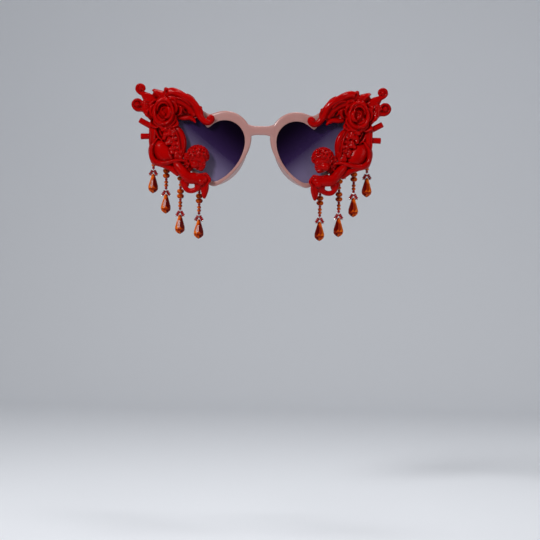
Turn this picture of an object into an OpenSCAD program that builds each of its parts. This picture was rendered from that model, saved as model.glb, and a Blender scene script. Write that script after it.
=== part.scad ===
// Heart shaped sunglasses with cast ornaments and bead dangles, in millimetres.
// X runs to the right as seen from in front, Y runs back along the temples, Z is up.
// The origin lies under the middle of the nose bridge. Left and right are as seen from in front.
// Each side is flat, turned back from the bridge by the wrap angle. The right side mirrors the left.

/* [Lenses] */
// Distance between the two lenses at the nose
bridge_gap = 24; // [21:0.5:27]
// Distance between the two lobe centres of a lens
lobe_gap = 29; // [27:0.5:31]
// Radius of the lobe beside the nose
lobe_in_r = 16; // [15:0.5:17]
// Radius of the outer lobe
lobe_out_r = 15.5; // [15:0.5:17]
// How far the outer lobe's centre lies above the inner one's
lobe_lift = 4; // [2:0.5:6]
// Height from the lobe centres down to the lens's tip
tip_drop = 35; // [32:0.5:38]
// How far the tip lies towards the nose from the middle of the lens
tip_in = 5.5; // [3:0.5:7]
// Depth of the lens's middle line of lobes below the underside of the bridge
lens_sink = 2.5; // [1.5:0.5:4]
// Thickness of a lens
lens_t = 2; // [1.6:0.1:2.4]

/* [Front] */
// Width of the rim at its sides
rim_w = 5; // [4.4:0.2:5.6]
// Extra height of the rim over the lobes
brow_h = 2.4; // [1.6:0.2:3]
// Width of the rim under the tip
foot_w = 3.8; // [3:0.1:4.5]
// Thickness of the front from face to back
front_t = 4.6; // [4.2:0.1:5.4]
// Height of the bridge
bridge_h = 7.2; // [6:0.2:8]
// Angle by which each side turns back from the bridge
wrap = 5; // [3:0.5:7]
// Depth of the lens groove in the rim
groove_d = 1.2; // [0.9:0.1:1.6]
// Gap left round the lens in its groove
lens_gap = 0.1; // [0.05:0.01:0.15]
// How far the nose pads stand back from the rim
pad_d = 8; // [6:0.5:10]
// Thickness of a nose pad's edge
pad_t = 2.2; // [1.8:0.1:2.6]

/* [Temples and hinges] */
// Length of a temple along the head, from the hinge to its tip
temple_l = 140; // [132:1:144]
// Height of a temple beside the hinge
temple_h = 11; // [10:0.5:12]
// Thickness of a temple
temple_t = 3.6; // [3.2:0.1:4]
// How far the temple's end hooks down behind the ear
ear_drop = 30; // [20:1:36]
// How far the end pieces reach out past the rims
end_reach = 3; // [2:0.5:5]
// How far the end pieces turn back behind the front's middle
end_back = 9; // [8:0.5:11]
// Height of the hinge's middle above the underside of the bridge
hinge_z = 6.5; // [5:0.5:8]
// Outer radius of a hinge knuckle
knuckle_r = 1.6; // [1.5:0.05:1.7]
// Height of one hinge knuckle
knuckle_h = 2.4; // [2:0.1:2.8]
// Radius of the hinge screw
screw_r = 0.7; // [0.6:0.05:0.8]
// Running gap round the hinge screw
screw_gap = 0.05; // [0.03:0.01:0.08]
// Thickness of a hinge leaf
leaf_t = 1; // [0.8:0.1:1.2]
// Length of a hinge leaf
leaf_l = 7; // [6:0.5:7.5]
// Gap between the knuckles, and between the temple and the end piece
hinge_gap = 0.15; // [0.1:0.01:0.2]

/* [Ornaments] */
// Size that the places of an ornament's forms are shares of
ornament_size = 78; // [74:0.5:82]
// Depth of the relief that its forms' heights are shares of
relief = 12; // [10:0.5:13]
// Radius of the rose
rose_r = 12.4; // [11.5:0.1:13]
// Height of the rose above its seat
rose_h = 9; // [7:0.5:10]
// Thickness of the seat under the rose
rose_seat = 3; // [2.5:0.1:3.5]
// Gap between the castings
cast_gap = 0.3; // [0.2:0.05:0.4]

/* [Dangles] */
// Radius of the wire in the eye pins and jump rings
wire_r = 0.3; // [0.25:0.01:0.32]
// Radius of an eye pin's eye and of a bead wire's top loop, to the middle of the wire
eye_r = 1; // [0.95:0.05:1.2]
// Radius of a jump ring, to the middle of the wire
ring_r = 1.5; // [1.45:0.05:1.8]
// Gap between two linked wires
link_gap = 0.15; // [0.1:0.01:0.2]
// Radius of the wire that the beads are strung on
string_r = 0.25; // [0.2:0.01:0.28]
// Gap round the wire in a bead's hole
bead_gap = 0.08; // [0.05:0.01:0.1]
// Distance from the castings' backs to the line on which the dangles hang
hang_back = 4.8; // [4.4:0.1:5.4]
// Length of an eye pin's shank inside the casting
shank_in = 2.4; // [2:0.1:2.8]
// Radius of a rondelle
rondelle_r = 2.8; // [2.4:0.1:3]
// Length of a rondelle along the wire
rondelle_l = 3.8; // [3.2:0.1:4]
// Radius of a small amber bead
amber_r = 1.6; // [1.4:0.1:1.8]
// Length of a small amber bead along the wire
amber_l = 2.5; // [2.2:0.1:2.7]
// Radius of a seed bead
seed_r = 1.05; // [0.9:0.05:1.1]
// Length of a seed bead along the wire
seed_l = 1.9; // [1.6:0.1:2]
// Half of the triangle's width where it carries the drop
spread = 3.2; // [3.1:0.1:3.4]
// Height of the triangle from its peak to the drop's hole
triangle_h = 5.2; // [5:0.1:6]
// Length of a drop
drop_l = 15.2; // [14:0.2:16]
// Largest radius of a drop
drop_r = 3.8; // [3.4:0.1:4]
// Depth of the drop's hole below its top
hole_drop = 1.4; // [1.2:0.1:1.6]

/* [Hidden] */
sides = ["left", "right"];
dangle_parts = ["ring", "wire", "beads", "drop"];
pair_parts = ["lens", "temple", "front_hinge", "temple_hinge", "hinge_screw",
    "crest", "rose", "cherub", "eye_pins"];

pink = [0.80, 0.60, 0.58];
red = [0.72, 0.02, 0.02];
amber = [0.85, 0.38, 0.08];
steel = [0.75, 0.75, 0.78];
seed_red = [0.35, 0.02, 0.05];
smoke = [0.25, 0.2, 0.32, 0.7];

// How far a cut runs past what it cuts
overrun = 1;
// Facets of the bored and turned pieces
$fn = 32;

// Places worked out from the driving sizes, all on the left side before the wrap turns it
lens_x = bridge_gap / 2 + lobe_in_r + lobe_gap / 2;
lobe_x = lens_x + lobe_gap / 2;
lobe_z = -lens_sink + lobe_lift / 2;
face_y = -front_t / 2;
end_x = lobe_x + lobe_out_r + rim_w + end_reach;
// Distance from the hinge's axis to the temple's inner face
axis_in = knuckle_r + hinge_gap;
hinge_x = end_x - temple_t - axis_in;
hinge_y = end_back + hinge_x * sin(wrap);

// A rim's outline has this many points on each lobe and on each flank
lobe_points = 10;
flank_points = 10;
// Bulge of the nose flank and of the outer flank, as shares of the tip's drop and the lobes' gap
nose_flank_shares = [0.45, 0.37, 0.065];
outer_flank_shares = [0.42, 0.4, 0.2];
// Section of the rim outside its groove: share of the width from the lens, share of the thickness
rim_section_shares = [[0, 0.42], [0.08, 0.5], [0.75, 0.5], [0.93, 0.42], [1, 0.2],
    [1, -0.2], [0.93, -0.42], [0.75, -0.5], [0.08, -0.48], [0, -0.4]];

function arc(c, r, a, b, n) =
    [for (i = [0:n - 1]) c + r * [cos(a + (b - a) * i / n), sin(a + (b - a) * i / n)]];

function flank(p, q, r, s, n) =
    [for (i = [0:n - 1]) let (t = i / n, u = 1 - t)
        u * u * u * p + 3 * u * u * t * q + 3 * u * t * t * r + t * t * t * s];

function soften(p) = let (n = len(p))
    [for (i = [0:n - 1]) (p[(i + n - 1) % n] + 2 * p[i] + p[(i + 1) % n]) / 4];

// A heart round the lens, grown outwards by side, raised by brow and lowered by foot.
// Two lobe arcs meet in a cleft, and a flank runs from each down to the tip.
function heart(side, brow, foot) =
    let (
        outer = [-lobe_gap / 2, lobe_lift / 2 + brow],
        inner = [lobe_gap / 2, -lobe_lift / 2 + brow],
        ro = lobe_out_r + side,
        ri = lobe_in_r + side,
        span = norm(inner - outer),
        along = (inner - outer) / span,
        reach = (ro * ro - ri * ri + span * span) / (2 * span),
        cleft = outer + reach * along + sqrt(ro * ro - reach * reach) * [-along.y, along.x],
        tip = [tip_in, -tip_drop - foot]
    )
    soften(concat(
        arc(outer, ro, 180, atan2(cleft.y - outer.y, cleft.x - outer.x), lobe_points),
        arc(inner, ri, atan2(cleft.y - inner.y, cleft.x - inner.x), 0, lobe_points),
        flank(inner + [ri, 0], inner + [ri, -nose_flank_shares[0] * tip_drop],
            tip + [nose_flank_shares[1] * lobe_gap, nose_flank_shares[2] * tip_drop],
            tip, flank_points),
        flank(tip, tip + [-outer_flank_shares[1] * lobe_gap, outer_flank_shares[2] * tip_drop],
            outer + [-ro, -outer_flank_shares[0] * tip_drop], outer + [-ro, 0], flank_points)));

lens_edge = heart(0, 0, 0);
rim_edge = heart(rim_w, brow_h, foot_w);

// Skin over rings of equal length, given as lists of points. A loop joins the last to the first.
module skin(rings, loop) {
    n = len(rings);
    m = len(rings[0]);
    last = loop ? n - 1 : n - 2;
    polyhedron(
        points = [for (ring = rings, p = ring) p],
        faces = concat(
            [for (i = [0:last], j = [0:m - 1]) let (a = i * m, b = ((i + 1) % n) * m, k = (j + 1) % m)
                [a + j, b + j, b + k]],
            [for (i = [0:last], j = [0:m - 1]) let (a = i * m, b = ((i + 1) % n) * m, k = (j + 1) % m)
                [a + j, b + k, a + k]],
            loop ? [] : [[for (j = [0:m - 1]) j], [for (j = [m - 1:-1:0]) (n - 1) * m + j]]),
        convexity = 6);
}

// Draws a left side's piece, mirrored for the right side
module on_side(side) {
    mirror([side == "right" ? 1 : 0, 0, 0]) children();
}

// Stands what is drawn in the plane of a side, turned back by the wrap
module wrapped() {
    rotate([0, 0, -wrap]) children();
}

module lens_place() {
    wrapped() translate([-lens_x, 0, -lens_sink]) children();
}

module lens() {
    outline = [for (i = [0:len(lens_edge) - 1]) let (out = rim_edge[i] - lens_edge[i])
        lens_edge[i] + (groove_d - lens_gap) * out / norm(out)];
    color(smoke) lens_place() rotate([90, 0, 0]) translate([0, 0, -lens_t / 2])
        linear_extrude(lens_t) polygon(outline);
}

module rim() {
    half_groove = lens_t / 2 + lens_gap;
    rings = [for (i = [0:len(lens_edge) - 1])
        let (p = lens_edge[i], w = rim_edge[i] - p, out = w / norm(w),
            at = function(q, y) [q.x, y, q.y])
        concat(
            [for (s = rim_section_shares) at(p + s[0] * w, s[1] * front_t)],
            [at(p, -half_groove), at(p + groove_d * out, -half_groove),
                at(p + groove_d * out, half_groove), at(p, half_groove)])];
    lens_place() skin(rings, true);
}

// Places along the bridge: share of its half length, share of its height for the underside,
// share for the top, share of the front's thickness
bridge_shares = [[-1.1, -0.35, 1.2, 0.7], [-0.72, -0.1, 1.03, 0.74], [-0.36, 0, 0.99, 0.78],
    [0.36, 0, 0.99, 0.78], [0.72, -0.1, 1.03, 0.74], [1.1, -0.35, 1.2, 0.7]];

module bridge() {
    half_l = bridge_gap / 2 - rim_w * 0.5;
    station = function(s) [for (a = [0:30:330])
        [s[0] * half_l, s[3] * front_t / 2 * sin(a),
            bridge_h * ((s[1] + s[2]) / 2 + (s[2] - s[1]) / 2 * cos(a))]];
    for (i = [0:len(bridge_shares) - 2])
        hull() skin([station(bridge_shares[i]), station(bridge_shares[i + 1])], false);
}

// A moulded nose pad: a fin that stands on the back of the rim's nose flank and leans to the nose
module nose_pad() {
    first = 2 * lobe_points + 1;
    lean_share = 0.3;
    for (i = [first:2:first + 6]) hull() for (k = [i, i + 2]) {
        mid = (rim_edge[k] + lens_edge[k]) / 2;
        out = (rim_edge[k] - lens_edge[k]) / norm(rim_edge[k] - lens_edge[k]);
        fade = sin(30 + 120 * (k - first) / 8);
        tip = mid + lean_share * pad_d * fade * out;
        lens_place() {
            translate([mid.x, front_t / 2, mid.y]) sphere(pad_t / 2, $fn = 8);
            translate([tip.x, front_t / 2 + pad_d * fade, tip.y]) sphere(pad_t / 2, $fn = 8);
        }
    }
}

// The end piece reaches out past the rim and turns back to meet the temple
module end_piece() {
    low = hinge_z - temple_h / 2;
    root_x = lobe_x + lobe_out_r;
    hull() {
        wrapped() translate([-root_x - rim_w * 0.8, face_y + front_t * 0.1, low + temple_h * 0.1])
            cube([rim_w * 0.3, front_t * 0.8, temple_h * 0.8]);
        hinge_place() translate([-axis_in - temple_t, -end_back * 0.75, low - hinge_z])
            cube([temple_t, end_back * 0.2, temple_h]);
        hinge_place() translate([-axis_in - temple_t * 0.8, -end_back * 0.95, low - hinge_z])
            cube([temple_t * 0.6, end_back * 0.2, temple_h]);
    }
    hinge_place() translate([-axis_in - temple_t, -end_back * 0.75, -temple_h / 2])
        cube([temple_t, end_back * 0.75 - hinge_gap, temple_h]);
}

module front_frame() {
    color(pink) {
        for (side = sides) on_side(side) {
            rim();
            nose_pad();
            end_piece();
        }
        bridge();
    }
}

// Stands a piece at the hinge's axis, square to the temple
module hinge_place() {
    translate([-hinge_x * cos(wrap), hinge_y, hinge_z]) children();
}

// Sections along the temple: share of its length, share of its drop, share of its height
temple_shares = [[0, 0, 1], [0.04, 0, 0.97], [0.1, 0, 0.86], [0.22, 0, 0.72], [0.4, 0, 0.6],
    [0.56, 0.02, 0.55], [0.66, 0.09, 0.54], [0.76, 0.25, 0.56], [0.86, 0.5, 0.6],
    [0.94, 0.76, 0.66], [0.99, 0.94, 0.58], [1, 1, 0.42]];
// How far the temple's tip turns in to the head, as a share of its length
temple_in_share = 0.05;

module temple() {
    rings = [for (s = temple_shares)
        let (y = hinge_gap + s[0] * temple_l, half = s[2] * temple_h / 2, edge = half * 0.25,
            x = -axis_in + temple_in_share * temple_l * pow(max(0, s[0] - 0.1), 2),
            t = temple_t * (1 - 0.25 * s[0]), z = -s[1] * ear_drop)
        [[x, y, z + half], [x - t * 0.7, y, z + half], [x - t, y, z + half - edge],
            [x - t, y, z - half + edge], [x - t * 0.7, y, z - half], [x, y, z - half]]];
    color(pink) hinge_place() skin(rings, false);
}

// One knuckle with its bore, its middle at the given height
module knuckle(z) {
    translate([0, 0, z - knuckle_h / 2]) difference() {
        cylinder(h = knuckle_h, r = knuckle_r);
        translate([0, 0, -overrun]) cylinder(h = knuckle_h + 2 * overrun, r = screw_r + screw_gap);
    }
}

// Length of the front's leaf, which is shorter, so that it stays behind the end piece's corner
front_leaf_l = end_back / 2;

// A leaf lies on the plastic's inner face. It runs back for the temple and forward for the front.
module leaf(z, way) {
    l = way > 0 ? leaf_l : front_leaf_l;
    translate([0, 0, z - knuckle_h / 2]) difference() {
        translate([-axis_in, way > 0 ? 0 : -l, 0]) cube([leaf_t, l, knuckle_h]);
        translate([0, 0, -overrun]) cylinder(h = knuckle_h + 2 * overrun, r = screw_r + screw_gap);
    }
}

module front_hinge() {
    step = knuckle_h + hinge_gap;
    color(steel) hinge_place() {
        for (z = [-step, step]) {
            knuckle(z);
            leaf(z, -1);
        }
        translate([-axis_in, -front_leaf_l, -step])
            cube([leaf_t, front_leaf_l - knuckle_r - hinge_gap, 2 * step]);
    }
}

module temple_hinge() {
    step = knuckle_h + hinge_gap;
    strip_y = knuckle_r + hinge_gap;
    color(steel) hinge_place() {
        knuckle(0);
        leaf(0, 1);
        translate([-axis_in, strip_y, -step]) cube([leaf_t, leaf_l - strip_y, 2 * step]);
    }
}

module hinge_screw() {
    top = 1.5 * knuckle_h + hinge_gap;
    head_h = knuckle_h / 3;
    slot_w = screw_r / 2;
    color(steel) hinge_place() difference() {
        union() {
            translate([0, 0, -top]) cylinder(h = 2 * top, r = screw_r);
            translate([0, 0, top]) cylinder(h = head_h, r = knuckle_r * 0.85);
        }
        translate([-knuckle_r, -slot_w / 2, top + head_h / 2]) cube([2 * knuckle_r, slot_w, head_h]);
    }
}

// An ornament's forms are places on the front's face: share of the size outwards from the
// outer lobe's centre, share upwards, half width and height. It sinks a little to its outer end.
sink_share = 0.02;
function spot(p) = [-(lobe_x + p[0] * ornament_size),
    lobe_z + (p[1] - sink_share * p[0]) * ornament_size];

// A smooth curve through places, for t from 0 to 1
function along(p, t) =
    let (n = len(p) - 1, k = min(floor(t * n), n - 1), s = t * n - k,
        a = p[max(k - 1, 0)], b = p[k], c = p[k + 1], d = p[min(k + 2, n)])
    (2 * b + (c - a) * s + (2 * a - 5 * b + 4 * c - d) * s * s
        + (3 * b - a - 3 * c + d) * s * s * s) / 2;

function coil(c, from_r, to_r, turn, width, height) =
    [for (i = [0:7]) let (t = i / 7, r = from_r + (to_r - from_r) * t)
        [c[0] + r * cos(turn * t), c[1] + r * sin(turn * t), width * (1 - 0.4 * t), height * (1 + 0.3 * t)]];

// Half section of a raised form: share of the half width, share of the height
stroke_section_shares = [[-1, 0], [-0.9, 0.5], [-0.5, 0.9], [0, 1], [0.5, 0.9], [0.9, 0.5], [1, 0]];

// A raised form carried along its places, flat at the back
module stroke(places, steps) {
    ring = function(t)
        let (s = along(places, t), p = spot(s),
            d = spot(along(places, min(t + 0.01, 1))) - spot(along(places, max(t - 0.01, 0))),
            n = [-d.y, d.x] / norm(d))
        [for (q = stroke_section_shares)
            let (o = p + q[0] * s[2] * ornament_size * n) [o.x, face_y - q[1] * s[3] * relief, o.y]];
    skin([for (i = [steps:-1:0]) ring(i / steps)], false);
}

// A ball or an egg that stands on the castings' back plane: centre, three half sizes as shares,
// and the height of its centre
module knob(c, half, height, sides = 10) {
    p = spot(c);
    translate([p.x, face_y - height * relief, p.y])
        scale([half[0] * ornament_size, half[1] * relief, half[2] * ornament_size])
        sphere(1, $fn = sides);
}

// Keeps what lies in front of the castings' back plane
module flat_back() {
    difference() {
        children();
        translate([-2 * lobe_x, face_y, -ornament_size]) cube(2 * ornament_size);
    }
}

rose_at = spot([0.235, 0.222]);
// The castings meet under the rose along this height, given as a share, and the seam's middle
// and half length are shares too
seam_share = 0.125;
seam_x_share = 0.27;
seam_half_share = 0.2;

// The round seat that the rose stands in, cut clear in front
module rose_pocket() {
    translate([rose_at.x, face_y - rose_seat, rose_at.y]) rotate([90, 0, 0])
        cylinder(h = 4 * relief, r = rose_r + cast_gap, $fn = 24);
}

module rose_boss() {
    translate([rose_at.x, face_y, rose_at.y]) rotate([90, 0, 0])
        cylinder(h = rose_seat, r = rose_r * 0.85, $fn = 24);
}

// Clears one side of the seam under the rose and half of the gap there: way is 1 for what lies
// above the seam and -1 for what lies below it
module seam(way) {
    p = spot([seam_x_share, seam_share]);
    w = 2 * seam_half_share * ornament_size;
    h = 3 * rose_r;
    translate([p.x - w / 2, face_y - 4 * relief, p.y + (way > 0 ? -cast_gap / 2 : cast_gap / 2 - h)])
        cube([w, 4 * relief + overrun, h]);
}

roll_shares = [[0.39, 0.31, 0.04, 0.3], [0.27, 0.4, 0.055, 0.5], [0.14, 0.42, 0.055, 0.58],
    [0, 0.36, 0.055, 0.58], [-0.09, 0.25, 0.045, 0.5], [-0.152, 0.12, 0.032, 0.42]];
web_shares = [[0.35, 0.26, 0.04, 0.17], [0.2, 0.28, 0.13, 0.2], [0.06, 0.26, 0.12, 0.2],
    [-0.06, 0.19, 0.07, 0.2], [-0.12, 0.14, 0.03, 0.2]];
leaf_shares = [
    [[0.12, 0.22, 0.04, 0.3], [0.02, 0.18, 0.045, 0.42], [-0.05, 0.155, 0.03, 0.4], [-0.09, 0.11, 0.008, 0.3]],
    [[0.12, 0.36, 0.05, 0.4], [0.18, 0.42, 0.04, 0.5], [0.225, 0.475, 0.008, 0.5]],
    [[0.25, 0.35, 0.05, 0.4], [0.31, 0.41, 0.04, 0.45], [0.355, 0.46, 0.008, 0.4]],
    [[0.36, 0.15, 0.03, 0.3], [0.41, 0.18, 0.035, 0.35], [0.455, 0.235, 0.012, 0.3]],
    [[0.1, 0.19, 0.02, 0.35], [0, 0.25, 0.03, 0.42], [-0.06, 0.26, 0.012, 0.4]],
    [[0.1, 0.26, 0.02, 0.35], [0.03, 0.31, 0.03, 0.45], [-0.03, 0.33, 0.01, 0.4]]];
stem_shares = [
    [[0.28, 0.28, 0.05, 0.3], [0.37, 0.345, 0.045, 0.4], [0.43, 0.4, 0.035, 0.42], [0.475, 0.455, 0.035, 0.5]],
    [[0.25, 0.18, 0.06, 0.3], [0.36, 0.235, 0.06, 0.42], [0.44, 0.28, 0.05, 0.45], [0.495, 0.298, 0.04, 0.5]]];
// A stem ends in a ball, whose neck lies this far back along the stem's last length
ball_share = 0.056;
neck_share = 0.7;
neck_half_share = 0.036;

module crest() {
    color(red) difference() {
        flat_back() {
            stroke(roll_shares, 10);
            stroke(coil([-0.215, 0.15], 0.065, 0.018, -430, 0.03, 0.42), 10);
            stroke(web_shares, 5);
            for (places = leaf_shares) hull() stroke(places, 3);
            for (places = stem_shares) {
                stroke(places, 3);
                end = places[len(places) - 1];
                root = end + neck_share * (places[len(places) - 2] - end);
                hull() {
                    knob([end[0], end[1]], [ball_share, 0.36, ball_share], 0.36);
                    knob([root[0], root[1]], [neck_half_share, 0.28, neck_half_share], 0.3, 8);
                }
            }
            rose_boss();
        }
        rose_pocket();
        seam(-1);
    }
}

// The rose is one turned relief: rings from the rim to the heart, each with its share of the
// radius, share of the height, depth of the petals' scallops, petals and turn
rose_shares = [[0.8, 0, 0, 5, 0], [0.94, 0.1, 0.06, 5, 0], [1, 0.3, 0.09, 5, 0],
    [0.94, 0.48, 0.1, 5, 0], [0.81, 0.42, 0.1, 5, 0], [0.72, 0.4, 0.08, 5, 36],
    [0.76, 0.66, 0.08, 5, 36], [0.69, 0.76, 0.08, 5, 36], [0.58, 0.64, 0.06, 5, 36],
    [0.52, 0.66, 0.06, 3, 10], [0.51, 0.94, 0.06, 3, 10], [0.43, 1, 0.06, 3, 10],
    [0.34, 0.62, 0.04, 3, 10], [0.22, 0.56, 0.03, 3, 60], [0.16, 0.76, 0.02, 3, 60],
    [0.06, 0.82, 0, 3, 60]];
rose_sides = 25;

module rose() {
    rings = [for (s = rose_shares)
        [for (i = [0:rose_sides - 1])
            let (a = 360 * i / rose_sides,
                r = rose_r * s[0] * (1 - s[2] * (1 - abs(cos((a - s[4]) * s[3] / 2)))))
            [r * cos(a), r * sin(a), rose_h * s[1]]]];
    color(red) translate([rose_at.x, face_y - rose_seat, rose_at.y]) rotate([90, 0, 0])
        skin(rings, false);
}

strap_shares = [[0.355, 0.12, 0.035, 0.3], [0.355, 0.03, 0.032, 0.34], [0.355, -0.05, 0.03, 0.36],
    [0.345, -0.13, 0.03, 0.36]];
wing_shares = [[0.17, 0.12, 0.045, 0.3], [0.08, 0.04, 0.05, 0.42], [0.03, -0.04, 0.045, 0.45],
    [0.03, -0.14, 0.035, 0.45], [0.04, -0.24, 0.03, 0.42]];
wing_web_shares = [[0.24, 0.12, 0.12, 0.2], [0.2, -0.02, 0.13, 0.22], [0.17, -0.16, 0.12, 0.24],
    [0.12, -0.3, 0.1, 0.3]];
drapery_shares = [[0.295, -0.045, 0.012, 0.5], [0.36, -0.12, 0.03, 0.6], [0.37, -0.2, 0.035, 0.65],
    [0.32, -0.285, 0.035, 0.66], [0.22, -0.315, 0.034, 0.62], [0.12, -0.345, 0.034, 0.6],
    [0.05, -0.37, 0.03, 0.55]];
arm_shares = [[0.09, -0.3, 0.05, 0.5], [0.03, -0.38, 0.055, 0.62], [-0.04, -0.43, 0.052, 0.64],
    [-0.11, -0.44, 0.048, 0.6], [-0.17, -0.43, 0.042, 0.58], [-0.21, -0.42, 0.034, 0.5]];
chest_shares = [[0.08, -0.26, 0.07, 0.35], [-0.04, -0.3, 0.1, 0.4], [-0.12, -0.36, 0.07, 0.4],
    [-0.17, -0.4, 0.05, 0.4]];
loop_shares = [[0.03, -0.44, 0.025, 0.35], [0.035, -0.5, 0.026, 0.36], [-0.01, -0.56, 0.028, 0.36],
    [-0.08, -0.575, 0.028, 0.36], [-0.14, -0.54, 0.025, 0.38], [-0.19, -0.49, 0.024, 0.4]];
tail_shares = [[-0.22, -0.42, 0.024, 0.45], [-0.225, -0.51, 0.03, 0.42], [-0.17, -0.58, 0.03, 0.38],
    [-0.18, -0.64, 0.008, 0.25]];
sprig_shares = [
    [[0.34, 0.07, 0.028, 0.25], [0.4, 0.1, 0.027, 0.25], [0.47, 0.135, 0.025, 0.22]],
    [[0.34, -0.03, 0.026, 0.25], [0.4, -0.025, 0.027, 0.25], [0.46, -0.02, 0.028, 0.22]]];
// The first and last feather of each row, from its root to its tip
feather_count = 5;
feather_shares = [
    [[0.29, 0.09, 0.022, 0.34], [0.3, 0.03, 0.024, 0.4], [0.29, -0.04, 0.012, 0.3]],
    [[0.1, 0.05, 0.022, 0.42], [0.07, -0.02, 0.024, 0.48], [0.06, -0.1, 0.012, 0.38]]];
long_feather_shares = [
    [[0.27, 0, 0.022, 0.3], [0.26, -0.08, 0.022, 0.34], [0.24, -0.15, 0.012, 0.34]],
    [[0.08, -0.05, 0.022, 0.36], [0.07, -0.16, 0.022, 0.42], [0.08, -0.27, 0.012, 0.4]]];
head_at_shares = [-0.111, -0.205];
face_at_shares = [-0.14, -0.285];
hair_r_share = 0.105;
curl_share = 0.034;
curl_count = 12;

module feathers(rows) {
    for (k = [0:feather_count - 1])
        stroke(rows[0] + (rows[1] - rows[0]) * k / (feather_count - 1), 2);
}

// Curls lie on the head on a spiral that leaves the face free
module curls() {
    for (k = [0:curl_count - 1]) {
        a = 20 + 137.5 * k;
        out = sqrt((k + 0.5) / curl_count);
        c = head_at_shares + hair_r_share * 0.8 * out * [cos(a), sin(a)] + [0.008, 0.02];
        hull() {
            knob(c, [curl_share, 0.19, curl_share], 0.53 + 0.28 * sqrt(1 - out * out * 0.8), 7);
            knob(c + curl_share * 0.5 * [sin(a), cos(a)], [curl_share * 0.8, 0.15, curl_share * 0.8],
                0.48 + 0.28 * sqrt(1 - out * out * 0.8), 7);
        }
    }
}

module cherub() {
    color(red) difference() {
        flat_back() {
            for (places = [strap_shares, wing_shares]) stroke(places, 4);
            stroke(wing_web_shares, 4);
            feathers(feather_shares);
            feathers(long_feather_shares);
            stroke(drapery_shares, 7);
            knob([0.23, -0.18], [0.105, 0.62, 0.12], 0.1);
            stroke(chest_shares, 4);
            stroke(arm_shares, 6);
            stroke(loop_shares, 6);
            stroke(tail_shares, 4);
            for (places = sprig_shares) stroke(places, 2);
            hull() {
                knob(head_at_shares, [hair_r_share, 0.5, hair_r_share], 0.32);
                knob(face_at_shares, [0.07, 0.42, 0.075], 0.36);
            }
            knob(face_at_shares + [-0.045, 0.002], [0.018, 0.12, 0.02], 0.7);
            knob(face_at_shares + [0, -0.025], [0.04, 0.2, 0.035], 0.5);
            curls();
            rose_boss();
        }
        rose_pocket();
        seam(1);
        for (k = [1:4]) hang_place(k) eye_shank(wire_r + bead_gap, overrun);
    }
}

// How each dangle is strung: r is a rondelle, a is a small amber bead and s is a seed bead
strings = ["rrsaas", "rrsaas", "rrsasrrsaas", "ssrrsaas"];
// Where the dangles hang, as shares like an ornament's places. The last two hang under the rim:
// their height is measured down from its edge, in shares of an eye pin's outer radius.
hang_shares = [[0.351, -0.067], [0.219, -0.272], [0.072, 0], [-0.119, 0]];
under_rim_shares = [0, 0, 2, 2.8];
outer_flank = [for (i = [2 * lobe_points + flank_points:len(rim_edge) - 1])
    [rim_edge[i].x - lens_x, rim_edge[i].y - lens_sink]];

function hang_spot(k) = let (p = spot(hang_shares[k - 1]), down = under_rim_shares[k - 1])
    down == 0 ? p : [p.x, lookup(p.x, outer_flank) - down * (eye_r + wire_r)];

// Stands a dangle's piece with the middle of its eye at the origin
module hang_place(k) {
    p = hang_spot(k);
    translate([p.x, face_y + hang_back, p.y]) children();
}

module wire_loop(r, wire) {
    rotate_extrude() translate([r, 0]) circle(wire, $fn = 16);
}

// The shank runs forward from the eye into the casting
module eye_shank(r, extra) {
    rotate([90, 0, 0]) translate([0, 0, eye_r])
        cylinder(h = hang_back - eye_r + shank_in + (extra > 0 ? bead_gap : 0), r = r);
}

module eye_pins() {
    color(steel) wrapped() for (k = [1:4]) hang_place(k) {
        rotate([0, 90, 0]) wire_loop(eye_r, wire_r);
        eye_shank(wire_r, 0);
    }
}

// Heights below the eye's middle of each link's highest wire
link_step = 2 * wire_r + link_gap;
ring_top = -eye_r + link_step;
loop_top = ring_top - 2 * ring_r + link_step;
string_top = loop_top - 2 * eye_r - wire_r;

module ring(k) {
    color(steel) wrapped() hang_place(k) translate([0, 0, ring_top - ring_r])
        rotate([90, 0, 0]) wire_loop(ring_r, wire_r);
}

function bead_l(c) = c == "r" ? rondelle_l : c == "a" ? amber_l : seed_l;
function strung_l(s, n) = n == 0 ? 0 : bead_l(s[n - 1]) + strung_l(s, n - 1);
function peak(k) = string_top - strung_l(strings[k - 1], len(strings[k - 1]));

// The solder at the triangle's corners
knot_r = string_r * 1.4;
leg_l = norm([spread, triangle_h]);
leg_a = atan2(spread, triangle_h);

module wire(k) {
    low = peak(k);
    foot = low - triangle_h;
    color(steel) wrapped() hang_place(k) {
        translate([0, 0, loop_top - eye_r]) rotate([0, 90, 0]) wire_loop(eye_r, wire_r);
        translate([0, 0, low]) cylinder(h = loop_top - 2 * eye_r - low, r = string_r);
        for (way = [-1, 1]) translate([0, 0, low]) rotate([0, 180 - way * leg_a, 0])
            cylinder(h = leg_l, r = string_r);
        translate([-spread, 0, foot]) rotate([0, 90, 0]) cylinder(h = 2 * spread, r = string_r);
        for (way = [-1, 1]) translate([way * spread, 0, foot]) sphere(knot_r);
        translate([0, 0, low]) sphere(knot_r);
    }
}

bore_r = string_r + bead_gap;
// Half outlines of the turned beads: share of the radius, share of half the length
rondelle_shares = [[0.45, -1], [0.78, -0.72], [1, 0], [0.78, 0.72], [0.45, 1]];
round_shares = [[0.6, -1], [0.92, -0.55], [1, 0], [0.92, 0.55], [0.6, 1]];

// A bead turned about the wire, its middle at the origin, just clear of its neighbours
module bead(shares, r, step) {
    l = step - bead_gap;
    rotate_extrude() polygon(concat([[bore_r, -l / 2]],
        [for (s = shares) [max(s[0] * r, bore_r + bead_gap), s[1] * l / 2]], [[bore_r, l / 2]]));
}

module bead_of(c) {
    if (c == "r") color(amber) bead(rondelle_shares, rondelle_r, rondelle_l);
    else if (c == "a") color(amber) bead(round_shares, amber_r, amber_l);
    else color(seed_red) bead(round_shares, seed_r, seed_l);
}

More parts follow.
